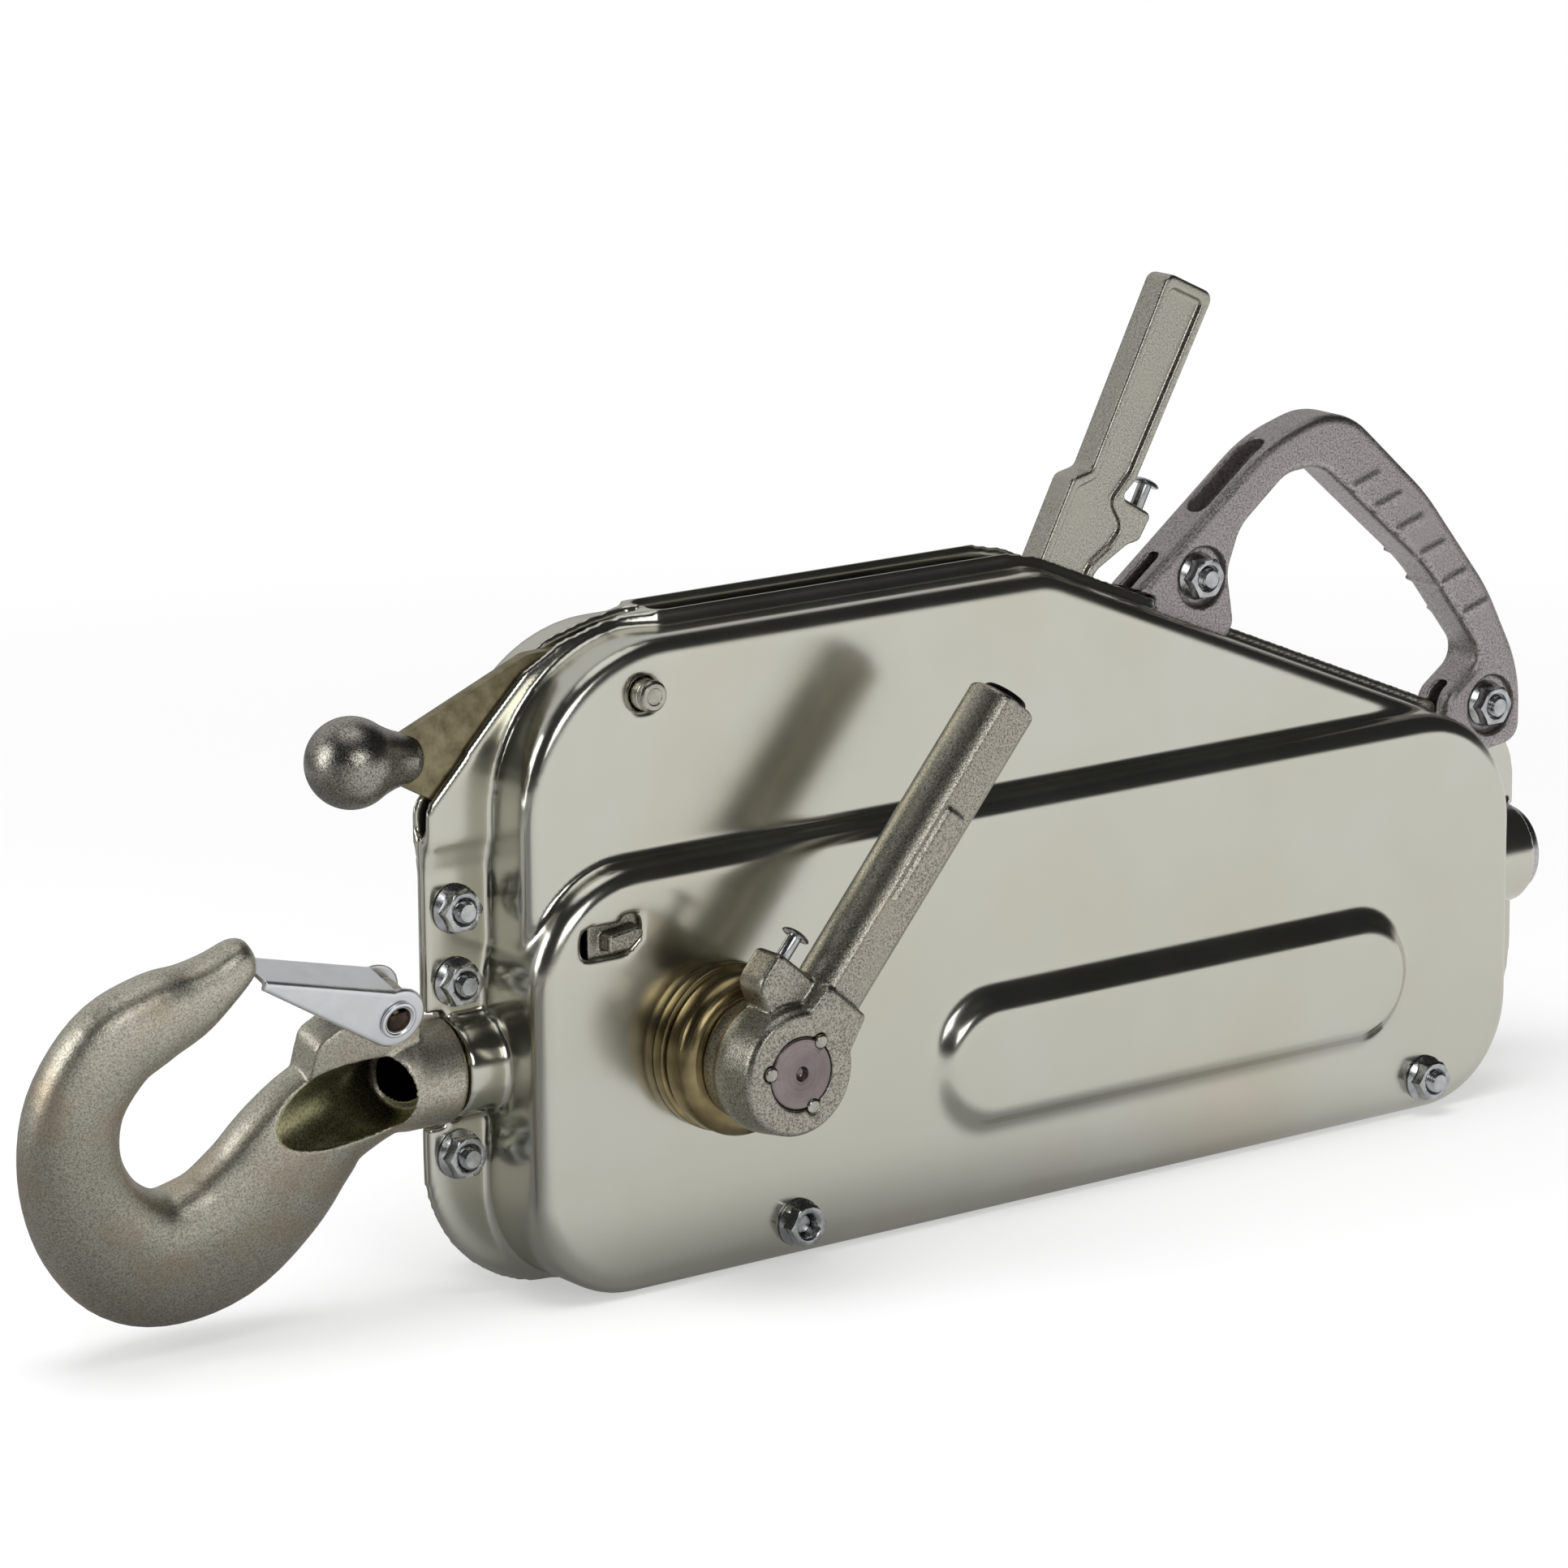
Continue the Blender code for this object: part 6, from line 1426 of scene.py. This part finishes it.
def remapped(tree, value, low, high, to_low=0.0, to_high=1.0):
    """A value between low and high, spread over another range."""
    return add(tree, "ShaderNodeMapRange", {"Value": value},
               {"From Min": low, "From Max": high, "To Min": to_low,
                "To Max": to_high}).outputs["Result"]


def either(tree, share, first, second):
    """One shader where share is 0 and the other where it is 1."""
    return add(tree, "ShaderNodeMixShader", {0: share, 1: first, 2: second}).outputs["Shader"]


# %% Floor
FLOOR_SIZE, FLOOR_DROP = 16.0, 0.0005
bpy.ops.object.select_all(action="DESELECT")
bpy.ops.mesh.primitive_plane_add(size=FLOOR_SIZE, location=(0.0, 0.0, cad_low.z - FLOOR_DROP))
floor = bpy.context.object
floor.name = "pale_floor"
floor_paint = bpy.data.materials.new("pale_matt_floor")
floor_paint.use_nodes = True
tree = floor_paint.node_tree
tree.nodes.clear()
paint = add(tree, "ShaderNodeBsdfDiffuse", values={"Color": grey(0.86)}).outputs["BSDF"]
glow = add(tree, "ShaderNodeEmission", values={"Color": grey(1.0), "Strength": 1.0})
path = add(tree, "ShaderNodeLightPath")
spot = add(tree, "ShaderNodeTexCoord").outputs["Object"]

# To the camera: paint near the winch, and more and more white further out.
away = add(tree, "ShaderNodeVectorMath", {0: spot}, operation="LENGTH").outputs["Value"]
seen = either(tree, remapped(tree, away, 0.55, 1.5, 0.45, 1.0), paint, glow.outputs["Emission"])

# To polished metal: bands that lie across the view, dimmer along the winch itself.
facing = add(tree, "ShaderNodeVectorMath", {0: spot}, {1: (1.0, -1.0, 0.0)},
             operation="DOT_PRODUCT").outputs["Value"]
bounce = bands(tree, remapped(tree, facing, -2.0, 4.0), (0.0, 0.05), (0.05, 0.08), (0.09, 0.50),
               (0.14, 0.42), (0.17, 0.06), (0.27, 0.08), (0.33, 0.66), (0.46, 0.80), (1.0, 1.0))
beside = add(tree, "ShaderNodeVectorMath", {0: spot}, {1: (0.3, 1.0, 0.0)}, operation="MULTIPLY")
beside = add(tree, "ShaderNodeVectorMath", {0: beside.outputs[0]}, operation="LENGTH")
open_floor = remapped(tree, beside.outputs["Value"], 0.05, 0.13, 0.35, 1.0)
mirror = add(tree, "ShaderNodeEmission", {"Color": bounce, "Strength": open_floor})
mirrored = add(tree, "ShaderNodeMixShader", {1: paint, 2: mirror.outputs["Emission"]}, {0: 0.85})
blend = either(tree, path.outputs["Is Glossy Ray"], seen, mirrored.outputs["Shader"])
add(tree, "ShaderNodeOutputMaterial", {"Surface": blend})
floor.data.materials.append(floor_paint)

# %% World
world = bpy.data.worlds.new("studio")
world.use_nodes = True
bpy.context.scene.world = world
tree = world.node_tree
tree.nodes.clear()
way = add(tree, "ShaderNodeTexCoord").outputs["Generated"]
height = add(tree, "ShaderNodeSeparateXYZ", {0: way}).outputs["Z"]
depth = add(tree, "ShaderNodeSeparateXYZ", {0: way}).outputs["Y"]
room = bands(tree, height, (0.0, 0.60), (0.05, 0.22), (0.10, 0.02), (0.90, 0.015), (0.95, 0.9),
             (1.0, 1.0))
grey_wall = ramp(tree, height, grey(0.34), grey(0.62), 0.0, 0.5)
colour = mixed(tree, remapped(tree, depth, 0.25, 0.6), room, grey_wall)
path = add(tree, "ShaderNodeLightPath")
dim = add(tree, "ShaderNodeBackground", {"Color": colour}, {"Strength": 1.0})
soft = add(tree, "ShaderNodeBackground", values={"Color": grey(0.62), "Strength": 1.0})
white = add(tree, "ShaderNodeBackground", values={"Color": grey(1.0), "Strength": 1.0})
lit = either(tree, path.outputs["Is Glossy Ray"], soft.outputs[0], dim.outputs[0])
shown = either(tree, path.outputs["Is Camera Ray"], lit, white.outputs[0])
add(tree, "ShaderNodeOutputWorld", {"Surface": shown})


# %% Lamps
def soft_box(name, place, target, width, height, power):
    bpy.ops.object.light_add(type="AREA", location=place)
    lamp = bpy.context.object
    lamp.name = name
    lamp.data.shape = "RECTANGLE"
    lamp.data.size, lamp.data.size_y = width, height
    lamp.data.energy = power
    lamp.rotation_euler = (Vector(target) - Vector(place)).to_track_quat("-Z", "Y").to_euler()
    return lamp


middle = (cad_low + cad_high) / 2.0
overhead = soft_box("overhead_box", (-0.5, -0.3, 2.2), middle, 1.6, 1.2, 34.0)
overhead.visible_glossy = False
soft_box("left_box", (-2.2, 0.6, 0.9), middle, 0.9, 1.4, 14.0)
soft_box("front_box", (-0.6, -2.6, 1.3), middle, 1.4, 0.9, 14.0)

scene = bpy.context.scene
scene.view_settings.view_transform = "Standard"
